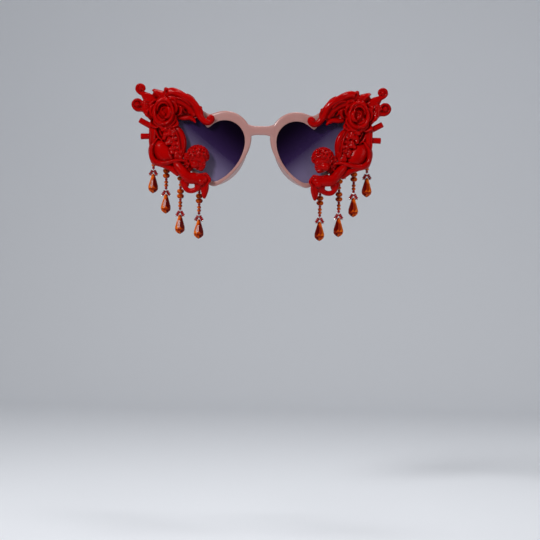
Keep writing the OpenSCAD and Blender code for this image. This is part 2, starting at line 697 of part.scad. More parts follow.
// Seed beads on one leg of the triangle, as shares of the leg
leg_seed_shares = [0.33, 0.56, 0.79];
leg_seed_l = leg_l * 0.23;

module beads(k) {
    s = strings[k - 1];
    wrapped() hang_place(k) {
        for (i = [0:len(s) - 1])
            translate([0, 0, string_top - strung_l(s, i) - bead_l(s[i]) / 2]) bead_of(s[i]);
        for (way = [-1, 1], share = leg_seed_shares)
            translate([0, 0, peak(k)]) rotate([0, 180 - way * leg_a, 0])
                translate([0, 0, share * leg_l]) color(seed_red) bead(round_shares, seed_r, leg_seed_l);
    }
}

// Half outline of a drop from its tip up: share of the radius, share of the length
drop_shares = [[0.12, 0], [0.5, 0.06], [0.86, 0.16], [1, 0.28], [0.9, 0.44], [0.68, 0.62],
    [0.46, 0.78], [0.34, 0.9], [0.2, 0.98]];

module drop(k) {
    color(amber) wrapped() hang_place(k) translate([0, 0, peak(k) - triangle_h]) difference() {
        translate([0, 0, hole_drop - drop_l]) rotate_extrude()
            polygon(concat([[0, 0]], [for (s = drop_shares) [s[0] * drop_r, s[1] * drop_l]],
                [[0.12 * drop_r, drop_l], [0, drop_l]]));
        translate([-drop_r, 0, 0]) rotate([0, 90, 0]) cylinder(h = 2 * drop_r, r = bore_r);
    }
}

front_frame();
for (side = sides) on_side(side) {
    lens();
    temple();
    front_hinge();
    temple_hinge();
    hinge_screw();
    wrapped() crest();
    wrapped() rose();
    wrapped() cherub();
    eye_pins();
    for (k = [1:4]) {
        ring(k);
        wire(k);
        beads(k);
        drop(k);
    }
}
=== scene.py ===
import math

import bpy
import numpy as np
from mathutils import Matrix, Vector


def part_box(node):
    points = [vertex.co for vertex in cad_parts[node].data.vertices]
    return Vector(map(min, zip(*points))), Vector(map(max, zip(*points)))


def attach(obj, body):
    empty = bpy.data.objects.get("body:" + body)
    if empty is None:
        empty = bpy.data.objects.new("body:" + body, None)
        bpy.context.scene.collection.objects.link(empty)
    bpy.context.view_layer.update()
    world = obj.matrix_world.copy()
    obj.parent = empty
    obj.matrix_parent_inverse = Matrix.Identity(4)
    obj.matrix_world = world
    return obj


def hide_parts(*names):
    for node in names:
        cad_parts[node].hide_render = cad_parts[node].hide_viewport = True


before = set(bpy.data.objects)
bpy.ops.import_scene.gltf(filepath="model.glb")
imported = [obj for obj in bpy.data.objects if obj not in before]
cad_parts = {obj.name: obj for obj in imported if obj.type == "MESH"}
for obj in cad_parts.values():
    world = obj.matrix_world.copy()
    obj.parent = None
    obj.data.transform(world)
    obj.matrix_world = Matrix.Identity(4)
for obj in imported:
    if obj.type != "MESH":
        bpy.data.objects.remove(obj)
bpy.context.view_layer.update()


def add(name, data):
    """A new object in the scene."""
    piece = bpy.data.objects.new(name, data)
    bpy.context.scene.collection.objects.link(piece)
    return piece


def paint(name, base, roughness, **sockets):
    """A material whose plain values sit on the shader's own sockets. Returns it with its nodes."""
    material = bpy.data.materials.new(name)
    material.use_nodes = True
    shader = material.node_tree.nodes["Principled BSDF"]
    shader.inputs["Base Color"].default_value = (*base, 1)
    shader.inputs["Roughness"].default_value = roughness
    for socket, value in sockets.items():
        shader.inputs[socket.replace("_", " ")].default_value = value
    return material, material.node_tree, shader


def circle(count):
    """Angles of equal steps once round."""
    return np.linspace(0, 2 * math.pi, count, endpoint=False)


# The camera stands level, a little below the glasses, and looks at them from straight in front.
# The photograph's middle lies below the bridge, and the picture is rolled a little, so the
# right side hangs lower. Lengths are millimetres until a mesh is made.
PIXEL_MM = 0.78
BRIDGE_PIXEL = (260.8, 135.2)
PICTURE_PIXELS = 540
CAMERA_AWAY = 1400.0
ROLL = math.radians(1.1)

right_off = (BRIDGE_PIXEL[0] - PICTURE_PIXELS / 2) * PIXEL_MM
up_off = (PICTURE_PIXELS / 2 - BRIDGE_PIXEL[1]) * PIXEL_MM
camera_x = -(right_off * math.cos(ROLL) - up_off * math.sin(ROLL))
camera_z = -(right_off * math.sin(ROLL) + up_off * math.cos(ROLL))
camera_data = bpy.data.cameras.new("camera")
camera_data.sensor_width = 36.0
camera_data.lens = 36.0 * CAMERA_AWAY / (PICTURE_PIXELS * PIXEL_MM)
camera_data.clip_start = 0.05
camera = add("camera", camera_data)
camera.location = (camera_x / 1000, -CAMERA_AWAY / 1000, camera_z / 1000)
camera.rotation_euler = (math.pi / 2, -ROLL, 0)
bpy.context.scene.camera = camera


# The studio: a pale floor that curves up into a pale backdrop, three soft boxes and an even sky.
# The sky and the sweep look pale to the eye and in reflections, and light the object plainly.
GLASSES_AIM = (0.0, 0.02, -0.02)


def soft_box(name, place, size, watts, spread):
    """A square lamp at place that faces the glasses, in metres and watts. Its grid lets light out
    over spread degrees, so that the floor below the glasses isn't lit too brightly."""
    data = bpy.data.lights.new(name, "AREA")
    data.shape = "RECTANGLE"
    data.size, data.size_y = size
    data.energy, data.spread = watts, math.radians(spread)
    lamp = add(name, data)
    away = np.subtract(place, GLASSES_AIM)
    flat = math.hypot(away[0], away[1])
    lamp.location = place
    lamp.rotation_euler = (math.atan2(flat, away[2]), 0, math.atan2(away[0], -away[1]))


soft_box("key_box", (-0.75, -1.1, 0.75), (0.3, 0.3), 3.5, 80)
soft_box("fill_box", (1.0, -1.0, 0.25), (0.7, 0.9), 1.3, 100)
soft_box("top_box", (0.1, 0.1, 1.2), (0.6, 0.3), 8.0, 180)

world = bpy.data.worlds.new("studio")
bpy.context.scene.world = world
world.use_nodes = True
sky = world.node_tree.nodes["Background"]
sky.inputs["Color"].default_value = (0.86, 0.88, 0.92, 1)
sky.inputs["Strength"].default_value = 0.24

FLOOR_Z = -0.3
SWEEP_FRONT, SWEEP_BACK, SWEEP_TOP, SWEEP_BEND, SWEEP_SIDE = -2.2, 1.6, 2.4, 0.5, 3.0
turn = np.linspace(0, math.pi / 2, 24)
sweep_line = np.vstack([
    [[SWEEP_FRONT, FLOOR_Z]],
    np.column_stack([SWEEP_BACK - SWEEP_BEND + SWEEP_BEND * np.sin(turn),
                     FLOOR_Z + SWEEP_BEND - SWEEP_BEND * np.cos(turn)]),
    [[SWEEP_BACK, SWEEP_TOP]]])
sweep_points = [(x, y, z) for y, z in sweep_line for x in (-SWEEP_SIDE, SWEEP_SIDE)]
row = np.arange(len(sweep_line) - 1) * 2
sweep_mesh = bpy.data.meshes.new("sweep")
sweep_mesh.from_pydata(sweep_points, [],
                       np.column_stack([row, row + 1, row + 3, row + 2]).tolist())
sweep_mesh.shade_smooth()
sweep_mesh.materials.append(paint("sweep_paper", (0.80, 0.82, 0.86), 0.85)[0])
sweep = add("sweep", sweep_mesh)


# The front is one moulding of dusty pink plastic: two heart shaped rims, the bridge between
# them, a pad fin behind each rim, and end pieces that turn back to the temples. Its sizes are
# the source's own, and the left side is made flat first, then turned back by the wrap.
BRIDGE_GAP, LOBE_GAP, LOBE_IN_R, LOBE_OUT_R = 24.0, 29.0, 16.0, 15.5
LOBE_LIFT, TIP_DROP, TIP_IN, LENS_SINK = 4.0, 35.0, 5.5, 2.5
RIM_W, BROW_H, FOOT_W, FRONT_T, BRIDGE_H = 5.0, 2.4, 3.8, 4.6, 7.2
GROOVE_D, PAD_D, PAD_T = 1.2, 8.0, 2.2
WRAP = math.radians(5)
TEMPLE_L, TEMPLE_H, TEMPLE_T, EAR_DROP = 140.0, 11.0, 3.6, 30.0
END_REACH, END_BACK, HINGE_Z, HINGE_GAP, KNUCKLE_R = 3.0, 9.0, 6.5, 0.15, 1.6
LENS_X = BRIDGE_GAP / 2 + LOBE_IN_R + LOBE_GAP / 2
LOBE_X = LENS_X + LOBE_GAP / 2
LOBE_Z = -LENS_SINK + LOBE_LIFT / 2
FACE_Y = -FRONT_T / 2
AXIS_IN = KNUCKLE_R + HINGE_GAP
HINGE_X = LOBE_X + LOBE_OUT_R + RIM_W + END_REACH - TEMPLE_T - AXIS_IN
HINGE_Y = END_BACK + HINGE_X * math.sin(WRAP)
SIDES = ("left", "right")


def smooth_path(places, count):
    """A curve through rows of places: each span is the cubic that leaves a row in the direction
    from the row before it to the row after it."""
    rows = np.asarray(places, float)
    t = np.linspace(0, len(rows) - 1, count)
    k = np.minimum(t.astype(int), len(rows) - 2)
    s = (t - k)[:, None]
    a, b = rows[np.maximum(k - 1, 0)], rows[k]
    c, d = rows[k + 1], rows[np.minimum(k + 2, len(rows) - 1)]
    return (2 * b + (c - a) * s + (2 * a - 5 * b + 4 * c - d) * s ** 2
            + (3 * b - a - 3 * c + d) * s ** 3) / 2


def skin(grid, loop=False):
    """Points and faces of a closed shell. grid holds rings of points, joined ring to ring. A fan
    closes each end, or the last ring joins the first. Faces are turned to point outwards."""
    n, m, _ = grid.shape
    ids = np.arange(n * m).reshape(n, m)
    nxt = np.roll(ids, -1, axis=1)
    points = grid.reshape(-1, 3)
    fans = np.zeros((0, 3), int)
    if loop:
        quads = np.stack([ids, nxt, np.roll(nxt, -1, 0), np.roll(ids, -1, 0)], -1).reshape(-1, 4)
    else:
        quads = np.stack([ids[:-1], nxt[:-1], nxt[1:], ids[1:]], -1).reshape(-1, 4)
        points = np.vstack([points, grid[0].mean(0), grid[-1].mean(0)])
        fans = np.vstack([np.column_stack([np.full(m, n * m), nxt[0], ids[0]]),
                          np.column_stack([np.full(m, n * m + 1), ids[-1], nxt[-1]])])
    tris = np.vstack([quads[:, [0, 1, 2]], quads[:, [0, 2, 3]], fans])
    a, b, c = points[tris[:, 0]], points[tris[:, 1]], points[tris[:, 2]]
    if np.einsum("ij,ij->", a, np.cross(b, c)) < 0:
        quads, fans = quads[:, ::-1], fans[:, ::-1]
    return points, quads, fans


def raw_mesh(name, shells):
    """One mesh, still in millimetres, that holds several shells."""
    points, faces, first = [], [], 0
    for p, quads, fans in shells:
        points.append(p)
        faces += (quads + first).tolist() + (fans + first).tolist()
        first += len(p)
    mesh = bpy.data.meshes.new(name)
    mesh.from_pydata(np.vstack(points).tolist(), [], faces)
    return mesh


def place_mesh(name, mesh, move, flip, sharp=None):
    """A finished object from a millimetre mesh: move takes its points to their place, and flip
    turns its faces round again where move mirrored them. Edges over sharp degrees stay crisp."""
    mesh = mesh.copy()
    mesh.name = name
    mesh.materials.clear()
    co = np.zeros(len(mesh.vertices) * 3)
    mesh.vertices.foreach_get("co", co)
    mesh.vertices.foreach_set("co", (move(co.reshape(-1, 3)) / 1000).ravel())
    if flip:
        mesh.flip_normals()
    mesh.update()
    mesh.shade_smooth()
    if sharp is not None:
        mesh.set_sharp_from_angle(angle=math.radians(sharp))
    return add(name, mesh)


def finished_mesh(piece):
    """The piece's mesh with its modifiers applied. The piece itself is dropped."""
    bpy.context.view_layer.update()
    done = bpy.data.meshes.new_from_object(
        piece.evaluated_get(bpy.context.evaluated_depsgraph_get()))
    bpy.data.objects.remove(piece)
    return done


def fused(name, shells, operation="UNION"):
    """One skin over several shells that run into each other, kept sharp where they meet, or the
    first shell with the others cut out of it."""
    parts = [add(name, raw_mesh(name, [shell])) for shell in shells]
    for part in parts[1:]:
        join = parts[0].modifiers.new("join", "BOOLEAN")
        join.operation, join.solver, join.object = operation, "MANIFOLD", part
    mesh = finished_mesh(parts[0])
    for part in parts[1:]:
        bpy.data.objects.remove(part)
    return mesh


def on_side(side):
    """Moves points of the flat left side into place: turned back by the wrap, and mirrored for
    the right side."""
    way = -1 if side == "right" else 1

    def move(p):
        x = p[:, 0] * math.cos(WRAP) + p[:, 1] * math.sin(WRAP)
        y = -p[:, 0] * math.sin(WRAP) + p[:, 1] * math.cos(WRAP)
        return np.column_stack([way * x, y, p[:, 2]])
    return move


def heart(side, brow, foot, count=300):
    """Outline of a heart round the lens, grown by side, raised by brow and lowered by foot. Two
    arcs meet in the cleft, a cubic runs from each down to the tip, and all is eased a little."""
    outer = np.array([-LOBE_GAP / 2, LOBE_LIFT / 2 + brow])
    inner = np.array([LOBE_GAP / 2, -LOBE_LIFT / 2 + brow])
    ro, ri = LOBE_OUT_R + side, LOBE_IN_R + side
    span = np.linalg.norm(inner - outer)
    way = (inner - outer) / span
    reach = (ro ** 2 - ri ** 2 + span ** 2) / (2 * span)
    cleft = outer + reach * way + math.sqrt(ro ** 2 - reach ** 2) * np.array([-way[1], way[0]])
    tip = np.array([TIP_IN, -TIP_DROP - foot])
    t = np.linspace(0, 1, 200, endpoint=False)[:, None]

    def arc(c, r, a, b):
        turn = a + (b - a) * t[:, 0]
        return c + r * np.column_stack([np.cos(turn), np.sin(turn)])

    def flank(p, q, r, s):
        u = 1 - t
        return u ** 3 * p + 3 * u ** 2 * t * q + 3 * u * t ** 2 * r + t ** 3 * s

    line = np.vstack([
        arc(outer, ro, math.pi, math.atan2(*(cleft - outer)[::-1])),
        arc(inner, ri, math.atan2(*(cleft - inner)[::-1]), 0),
        flank(inner + [ri, 0], inner + [ri, -0.45 * TIP_DROP],
              tip + [0.37 * LOBE_GAP, 0.065 * TIP_DROP], tip),
        flank(tip, tip + [-0.4 * LOBE_GAP, 0.2 * TIP_DROP],
              outer + [-ro, -0.42 * TIP_DROP], outer + [-ro, 0])])
    pick = np.linspace(0, len(line), count, endpoint=False).astype(int)
    ease = np.exp(-0.5 * (np.arange(-40, 41) / 14.0) ** 2)
    ease /= ease.sum()
    wide = np.vstack([line[-40:], line, line[:40]])
    soft = np.column_stack([np.convolve(wide[:, i], ease, "valid") for i in (0, 1)])
    return soft[pick]


lens_edge = heart(0, 0, 0)
rim_edge = heart(RIM_W, BROW_H, FOOT_W)

# Section of the rim from the groove's front lip round the outside to its back lip: share of the
# width away from the lens, share of the thickness
RIM_SECTION = [[0, -0.24], [0, -0.4], [0.03, -0.455], [0.09, -0.49], [0.2, -0.5], [0.45, -0.503],
               [0.68, -0.5], [0.82, -0.475], [0.92, -0.42], [0.98, -0.32], [1, -0.18], [1, 0.18],
               [0.98, 0.32], [0.92, 0.42], [0.82, 0.475], [0.68, 0.5], [0.2, 0.5], [0.06, 0.47],
               [0, 0.4], [0, 0.24]]
width = rim_edge - lens_edge
out = width / np.linalg.norm(width, axis=1)[:, None]
rings = [np.insert(lens_edge + s * width, 1, y * FRONT_T, axis=1) for s, y in RIM_SECTION]
rings += [np.insert(lens_edge + GROOVE_D * out, 1, y * FRONT_T, axis=1) for y in (0.24, -0.24)]
rim_grid = np.stack(rings, axis=1) + [-LENS_X, 0, -LENS_SINK]

# Pad fins: share along the rim's outline, and how tall the fin stands there
PAD_STEPS, PAD_AROUND = 24, 16
pad_i = (np.linspace(0.56, 0.72, PAD_STEPS) * len(rim_edge)).astype(int)
pad_fade = np.sin(np.linspace(0.22, 2.8, PAD_STEPS))
pad_mid = lens_edge[pad_i] + 0.5 * width[pad_i]
pad_tip = pad_mid + (0.12 * PAD_D * pad_fade)[:, None] * out[pad_i]
pad_root_y, pad_tip_y = FRONT_T / 2, FRONT_T / 2 + PAD_D * pad_fade
pad_grid = np.zeros((PAD_STEPS, PAD_AROUND, 3))
for k, a in enumerate(circle(PAD_AROUND)):
    base, y = (pad_tip, pad_tip_y) if math.sin(a) > 0 else (pad_mid, pad_root_y)
    pad_grid[:, k, [0, 2]] = base + PAD_T / 2 * math.cos(a) * out[pad_i]
    pad_grid[:, k, 1] = y + PAD_T / 2 * math.sin(a)
pad_grid += [-LENS_X, 0, -LENS_SINK]

# The bridge: share of its half length, shares of its height for underside and top, depth share
BRIDGE_PLACES = [[-1.1, -0.35, 1.2, 0.7], [-0.72, -0.1, 1.03, 0.74], [-0.36, 0, 0.99, 0.78],
                 [0, 0, 0.985, 0.78], [0.36, 0, 0.99, 0.78], [0.72, -0.1, 1.03, 0.74],
                 [1.1, -0.35, 1.2, 0.7]]
b = smooth_path(BRIDGE_PLACES, 40)
turn = circle(32)
square = np.abs(np.cos(turn)) ** 0.65 * np.sign(np.cos(turn))
deep = np.abs(np.sin(turn)) ** 0.65 * np.sign(np.sin(turn))
bridge_grid = np.stack([
    np.broadcast_to((b[:, 0] * (BRIDGE_GAP / 2 - RIM_W / 2))[:, None], (40, 32)),
    b[:, 3:4] * FRONT_T / 2 * deep[None],
    BRIDGE_H * ((b[:, 1:2] + b[:, 2:3]) / 2 + (b[:, 2:3] - b[:, 1:2]) / 2 * square[None])], -1)

# An end piece bends from the rim's outer side back to the hinge, flat where the temple meets it
t = np.linspace(0, 1, 24)[:, None]
end_start = np.array([-(LOBE_X + LOBE_OUT_R + 1.0), (LOBE_X + LOBE_OUT_R) * math.sin(WRAP) + 0.4])
end_stop = np.array([-(HINGE_X * math.cos(WRAP) + AXIS_IN + TEMPLE_T / 2), HINGE_Y - HINGE_GAP])
corner = np.array([end_stop[0] + 0.4, end_start[1] + 1.0])
end_line = (1 - t) ** 2 * end_start + 2 * (1 - t) * t * corner + t ** 2 * end_stop
end_way = np.gradient(end_line, axis=0)
end_way /= np.linalg.norm(end_way, axis=1)[:, None]
end_side = np.column_stack([-end_way[:, 1], end_way[:, 0]])
end_half = 1.9 + (TEMPLE_T / 2 - 1.9) * t
end_high = (0.42 + 0.08 * t) * TEMPLE_H
end_grid = np.stack([end_line[:, :1] + end_side[:, :1] * end_half * deep[None],
                     end_line[:, 1:] + end_side[:, 1:] * end_half * deep[None],
                     HINGE_Z + end_high * square[None]], -1)


def turned_back(grid):
    """A flat grid of the left side, turned back by the wrap."""
    return on_side("left")(grid.reshape(-1, 3)).reshape(grid.shape)


front_shells = [skin(bridge_grid)]
for flip in ([1, 1, 1], [-1, 1, 1]):
    front_shells += [skin(turned_back(rim_grid) * flip, loop=True),
                     skin(turned_back(pad_grid) * flip), skin(end_grid * flip)]
front = place_mesh("front", fused("front", front_shells), lambda p: p, False, sharp=32)


def clouds(tree, scale, detail):
    """The output of a cloudy pattern in the piece's own coordinates."""
    place = tree.nodes.new("ShaderNodeTexCoord")
    noise = tree.nodes.new("ShaderNodeTexNoise")
    noise.inputs["Scale"].default_value = scale
    noise.inputs["Detail"].default_value = detail
    tree.links.new(place.outputs["Object"], noise.inputs["Vector"])
    return noise.outputs["Fac"]


def speckle(tree, shader, socket, scale, detail, low, high, ramp=(0.35, 0.65)):
    """Feeds a socket a cloudy pattern that runs from low to high."""
    spread = tree.nodes.new("ShaderNodeMapRange")
    spread.inputs["From Min"].default_value, spread.inputs["From Max"].default_value = ramp
    tree.links.new(clouds(tree, scale, detail), spread.inputs["Value"])
    if isinstance(low, tuple):
        mix = tree.nodes.new("ShaderNodeMix")
        mix.data_type = "RGBA"
        mix.inputs["A"].default_value = (*low, 1)
        mix.inputs["B"].default_value = (*high, 1)
        tree.links.new(spread.outputs["Result"], mix.inputs["Factor"])
        tree.links.new(mix.outputs["Result"], shader.inputs[socket])
    else:
        spread.inputs["To Min"].default_value = low
        spread.inputs["To Max"].default_value = high
        tree.links.new(spread.outputs["Result"], shader.inputs[socket])


def grain(tree, shader, scale, detail, strength, distance):
    """Fine cloudy bumps on the surface."""
    bump = tree.nodes.new("ShaderNodeBump")
    bump.inputs["Strength"].default_value = strength
    bump.inputs["Distance"].default_value = distance
    tree.links.new(clouds(tree, scale, detail), bump.inputs["Height"])
    tree.links.new(bump.outputs["Normal"], shader.inputs["Normal"])


def three_tones(tree, shader, share, low, middle, high):
    """Colours the surface by a share: low at 0, middle at 0.45 and high at 1."""
    ramp = tree.nodes.new("ShaderNodeValToRGB")
    stops = ramp.color_ramp.elements
    stops[0].color, stops[1].color = (*low, 1), (*high, 1)
    stops.new(0.45).color = (*middle, 1)
    tree.links.new(share, ramp.inputs["Fac"])
    tree.links.new(ramp.outputs["Color"], shader.inputs["Base Color"])


pink_plastic, tree, shader = paint("moulded_pink", (0.35, 0.174, 0.158), 0.28, IOR=1.49,
                                   Subsurface_Weight=0.12, Subsurface_Scale=0.002,
                                   Coat_Weight=0.15, Coat_Roughness=0.15)
shader.inputs["Subsurface Radius"].default_value = (1.0, 0.45, 0.35)
speckle(tree, shader, "Base Color", 60, 3, (0.335, 0.164, 0.148), (0.365, 0.186, 0.168))
grain(tree, shader, 900, 2, 0.12, 0.00015)
front.data.materials.append(pink_plastic)
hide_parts("front_frame")
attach(front, "front")

# The lenses are flat tinted sheets, pushed into the rims' grooves. The dye is almost black
# purple at the top and runs out to a pale lilac grey below. Beside the bridge the colour is
# darker still and lightens outwards: that part is painted shade.
lens_tint, tree, shader = paint("lens_tint", (0.02, 0.01, 0.03), 0.04, IOR=1.5,
                                Specular_IOR_Level=0.05)
place = tree.nodes.new("ShaderNodeTexCoord")
split = tree.nodes.new("ShaderNodeSeparateXYZ")
tree.links.new(place.outputs["Object"], split.inputs["Vector"])


def arithmetic(tree, kind, a, b):
    """A Math node that joins two values or sockets."""
    node = tree.nodes.new("ShaderNodeMath")
    node.operation = kind
    for slot_in, value in zip(node.inputs, (a, b)):
        if isinstance(value, (int, float)):
            slot_in.default_value = value
        else:
            tree.links.new(value, slot_in)
    return node.outputs[0]


# Painted shade: the colour darkens towards the bridge and lightens outwards, on top of the dye's
# fade downwards.
outwards = arithmetic(tree, "MULTIPLY", arithmetic(tree, "ABSOLUTE", split.outputs["X"], 0), 0.8)
down = arithmetic(tree, "SUBTRACT", outwards, split.outputs["Z"])
dye_and_painted_shade = tree.nodes.new("ShaderNodeMapRange")
dye_and_painted_shade.interpolation_type = "SMOOTHSTEP"
dye_and_painted_shade.inputs["From Min"].default_value = 0.01
dye_and_painted_shade.inputs["From Max"].default_value = 0.07
tree.links.new(down, dye_and_painted_shade.inputs["Value"])
three_tones(tree, shader, dye_and_painted_shade.outputs["Result"], (0.002, 0.0004, 0.004), (0.02, 0.008, 0.045),
            (0.15, 0.12, 0.22))
clear = tree.nodes.new("ShaderNodeMapRange")
clear.inputs["To Min"].default_value = 0.995
clear.inputs["To Max"].default_value = 0.82
tree.links.new(dye_and_painted_shade.outputs["Result"], clear.inputs["Value"])
tree.links.new(clear.outputs["Result"], shader.inputs["Alpha"])


def dress(node, material):
    """Gives a carried-over node its finish."""
    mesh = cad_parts[node].data
    mesh.materials.clear()
    mesh.materials.append(material)


for side in SIDES:
    dress(side + "_lens", lens_tint)

# The temples are cut from the same pink plastic. They start flat against the end pieces, get
# slimmer towards the back, and hook down there with rounded tips.
TEMPLE_PLACES = [[0, 0, 1], [0.04, 0, 0.97], [0.1, 0, 0.86], [0.22, 0, 0.72], [0.4, 0, 0.6],
                 [0.56, 0.02, 0.55], [0.66, 0.09, 0.54], [0.76, 0.25, 0.56], [0.86, 0.5, 0.6],
                 [0.94, 0.76, 0.64], [0.985, 0.93, 0.5], [1, 1, 0.3]]
s = smooth_path(TEMPLE_PLACES, 120)
turn_in = 0.05 * TEMPLE_L * np.maximum(0, s[:, 0] - 0.1) ** 2
thick = TEMPLE_T * (1 - 0.25 * s[:, 0])
temple_grid = np.stack([
    (-AXIS_IN + turn_in - thick / 2)[:, None] + (thick / 2)[:, None] * deep[None],
    np.broadcast_to((HINGE_GAP + s[:, 0] * TEMPLE_L)[:, None], (120, 32)),
    (-s[:, 1] * EAR_DROP)[:, None] + (s[:, 2] * TEMPLE_H / 2)[:, None] * square[None]], -1)
temple_grid += [-HINGE_X * math.cos(WRAP), HINGE_Y, HINGE_Z]
temple_mesh = raw_mesh("temple", [skin(temple_grid)])
for side in SIDES:
    way = -1 if side == "right" else 1
    temple = place_mesh(side + "_temple_arm", temple_mesh, lambda p: p * [way, 1, 1], way < 0,
                        sharp=40)
    temple.data.materials.append(pink_plastic)
    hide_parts(side + "_temple")
    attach(temple, side + "_arm")

# The hinges are small plated leaves with three knuckles in all, closed by a slotted screw.
plated, tree, shader = paint("plated_steel", (0.62, 0.6, 0.56), 0.25, Metallic=1.0)
speckle(tree, shader, "Roughness", 700, 3, 0.18, 0.34)
grain(tree, shader, 2500, 2, 0.1, 0.00005)
for side in SIDES:
    for part in ("front_hinge", "temple_hinge", "hinge_screw"):
        dress(side + "_" + part, plated)

# The castings are red resin. Every form is a closed surface on the flat left side, given as
# shares of the ornament's size outwards and upwards from the outer lobe's middle, and as a
# height in millimetres over the flat back. The forms are fused in one skin as poured resin is.
ORNAMENT = 78.0
SINK = 0.02
# How wide the eased neighbourhood is and how deep a crease must be for full painted shade, in
# millimetres.
CREASE_SHADE_WIDTH, CREASE_SHADE_DEPTH = 10, 0.6


def spot(u, w, height):
    """Millimetres on the flat left side for shares and a height."""
    u, w, height = np.broadcast_arrays(np.asarray(u, float), w, height)
    return np.stack([-(LOBE_X + u * ORNAMENT), FACE_Y - height,
                     LOBE_Z + (w - SINK * u) * ORNAMENT], -1)


def swept(centre, half_side, half_up, up=(0, -1, 0), around=20, flutes=0, flute_depth=0.0):
    """An oval carried along a line of points. Its long axis lies across the line and its height
    along up; flutes grooves run along it; half_side and half_up are its half sizes."""
    way = np.gradient(centre, axis=0)
    way /= np.linalg.norm(way, axis=1)[:, None] + 1e-12
    up = np.broadcast_to(np.asarray(up, float), centre.shape)
    side = np.cross(way, up)
    side /= np.linalg.norm(side, axis=1)[:, None] + 1e-12
    lift = np.cross(side, way)
    a = circle(around)
    groove = 1 - flute_depth * (0.5 - 0.5 * np.cos(flutes * a))
    return (centre[:, None] + side[:, None] * (half_side[:, None] * np.cos(a) * groove)[..., None]
            + lift[:, None] * (half_up[:, None] * np.sin(a) * groove)[..., None])


def limb(places, steps=48, ease=0.12, **kinds):
    """A fleshy form through places of [outwards, upwards, height, half width, half depth] that
    ends in round caps, eased over a share of its length."""
    rows = smooth_path(places, steps)
    t = np.linspace(0, 1, steps)
    near = np.minimum(t, 1 - t) / ease
    cap = np.sqrt(np.clip(1 - (1 - np.clip(near, 0, 1)) ** 2, 0.0004, 1))
    return skin(flat_back(swept(spot(rows[:, 0], rows[:, 1], rows[:, 2]), rows[:, 3] * cap,
                                rows[:, 4] * cap, **kinds)))


def flat_back(grid):
    """Nothing reaches behind the castings' flat back."""
    grid = grid.copy()
    grid[..., 1] = np.minimum(grid[..., 1], FACE_Y)
    return grid


def egg(u, w, height, across, upright, depth, rings=24, around=28):
    """An egg round a place, with its three half sizes in millimetres."""
    polar = np.linspace(0.03, math.pi - 0.03, rings)
    a = circle(around)
    grid = np.stack([across * np.sin(polar)[:, None] * np.cos(a)[None],
                     depth * np.sin(polar)[:, None] * np.sin(a)[None],
                     np.broadcast_to(upright * np.cos(polar)[:, None], (rings, around))], -1)
    return skin(flat_back(grid + spot(u, w, height)))


def rib(places, steps=48):
    """A slim limb."""
    return limb(places, steps, around=14)


def blade(places, thickness, cup, steps=64):
    """A leaf through places of [outwards, upwards, height, half width]. It is thickness thick, and
    its edges curl up by cup."""
    rows = smooth_path(places, steps)
    centre = spot(rows[:, 0], rows[:, 1], rows[:, 2])
    way = np.gradient(centre, axis=0)
    side = np.cross(way, [0, -1, 0])
    side /= np.linalg.norm(side, axis=1)[:, None]
    v = np.cos(np.linspace(0, math.pi, 17))
    top = (centre[:, None] + side[:, None] * (rows[:, 3:] * v)[..., None]
           - [0, 1, 0] * (cup * v ** 2)[:, None])
    under = top + [0, 1, 0] * (thickness * np.sqrt(np.clip(1 - v ** 2, 0, 1)) + 0.25)[..., None]
    return skin(flat_back(np.concatenate([top, under[:, ::-1]], axis=1)))


def casting(name, shells, voxel):
    """Fuses shells in one skin over a fine grid of voxel millimetres, and eases it as the mould's
    worn edges do. It stores how deep each point lies in a crease, for painted shade there.
    Returns the mesh of the flat left side."""
    piece = add(name, raw_mesh(name, shells))
    fuse = piece.modifiers.new("fuse", "REMESH")
    fuse.mode, fuse.voxel_size = "VOXEL", voxel * 1
    ease = piece.modifiers.new("ease", "SMOOTH")
    ease.factor, ease.iterations = 0.5, 2
    mesh = finished_mesh(piece)
    mesh.attributes.new("painted_crease_shade", "FLOAT", "POINT").data.foreach_set("value", painted_crease_shade_shares(mesh, voxel))
    return mesh


def painted_crease_shade_shares(mesh, voxel):
    """How far each point lies under its eased surroundings, which the resin uses as painted shade
    in creases: each round moves the points to their neighbours' middle, and the way back is
    measured along the normal, as a share of a depth."""
    n = len(mesh.vertices)
    co, normal = np.zeros(n * 3), np.zeros(n * 3)
    mesh.vertices.foreach_get("co", co)
    mesh.vertices.foreach_get("normal", normal)
    edges = np.zeros(len(mesh.edges) * 2, int)
    mesh.edges.foreach_get("vertices", edges)
    a, b = edges.reshape(-1, 2).T
    ends = np.bincount(edges, minlength=n)
    eased = co.reshape(-1, 3)
    for _ in range(int(CREASE_SHADE_WIDTH / voxel)):
        eased = np.stack([np.bincount(a, eased[b, i], n) + np.bincount(b, eased[a, i], n)
                          for i in range(3)], -1) / ends[:, None]
    sunk = np.einsum("ij,ij->i", eased - co.reshape(-1, 3), normal.reshape(-1, 3))
    return np.clip(sunk / CREASE_SHADE_DEPTH, 0, 1)


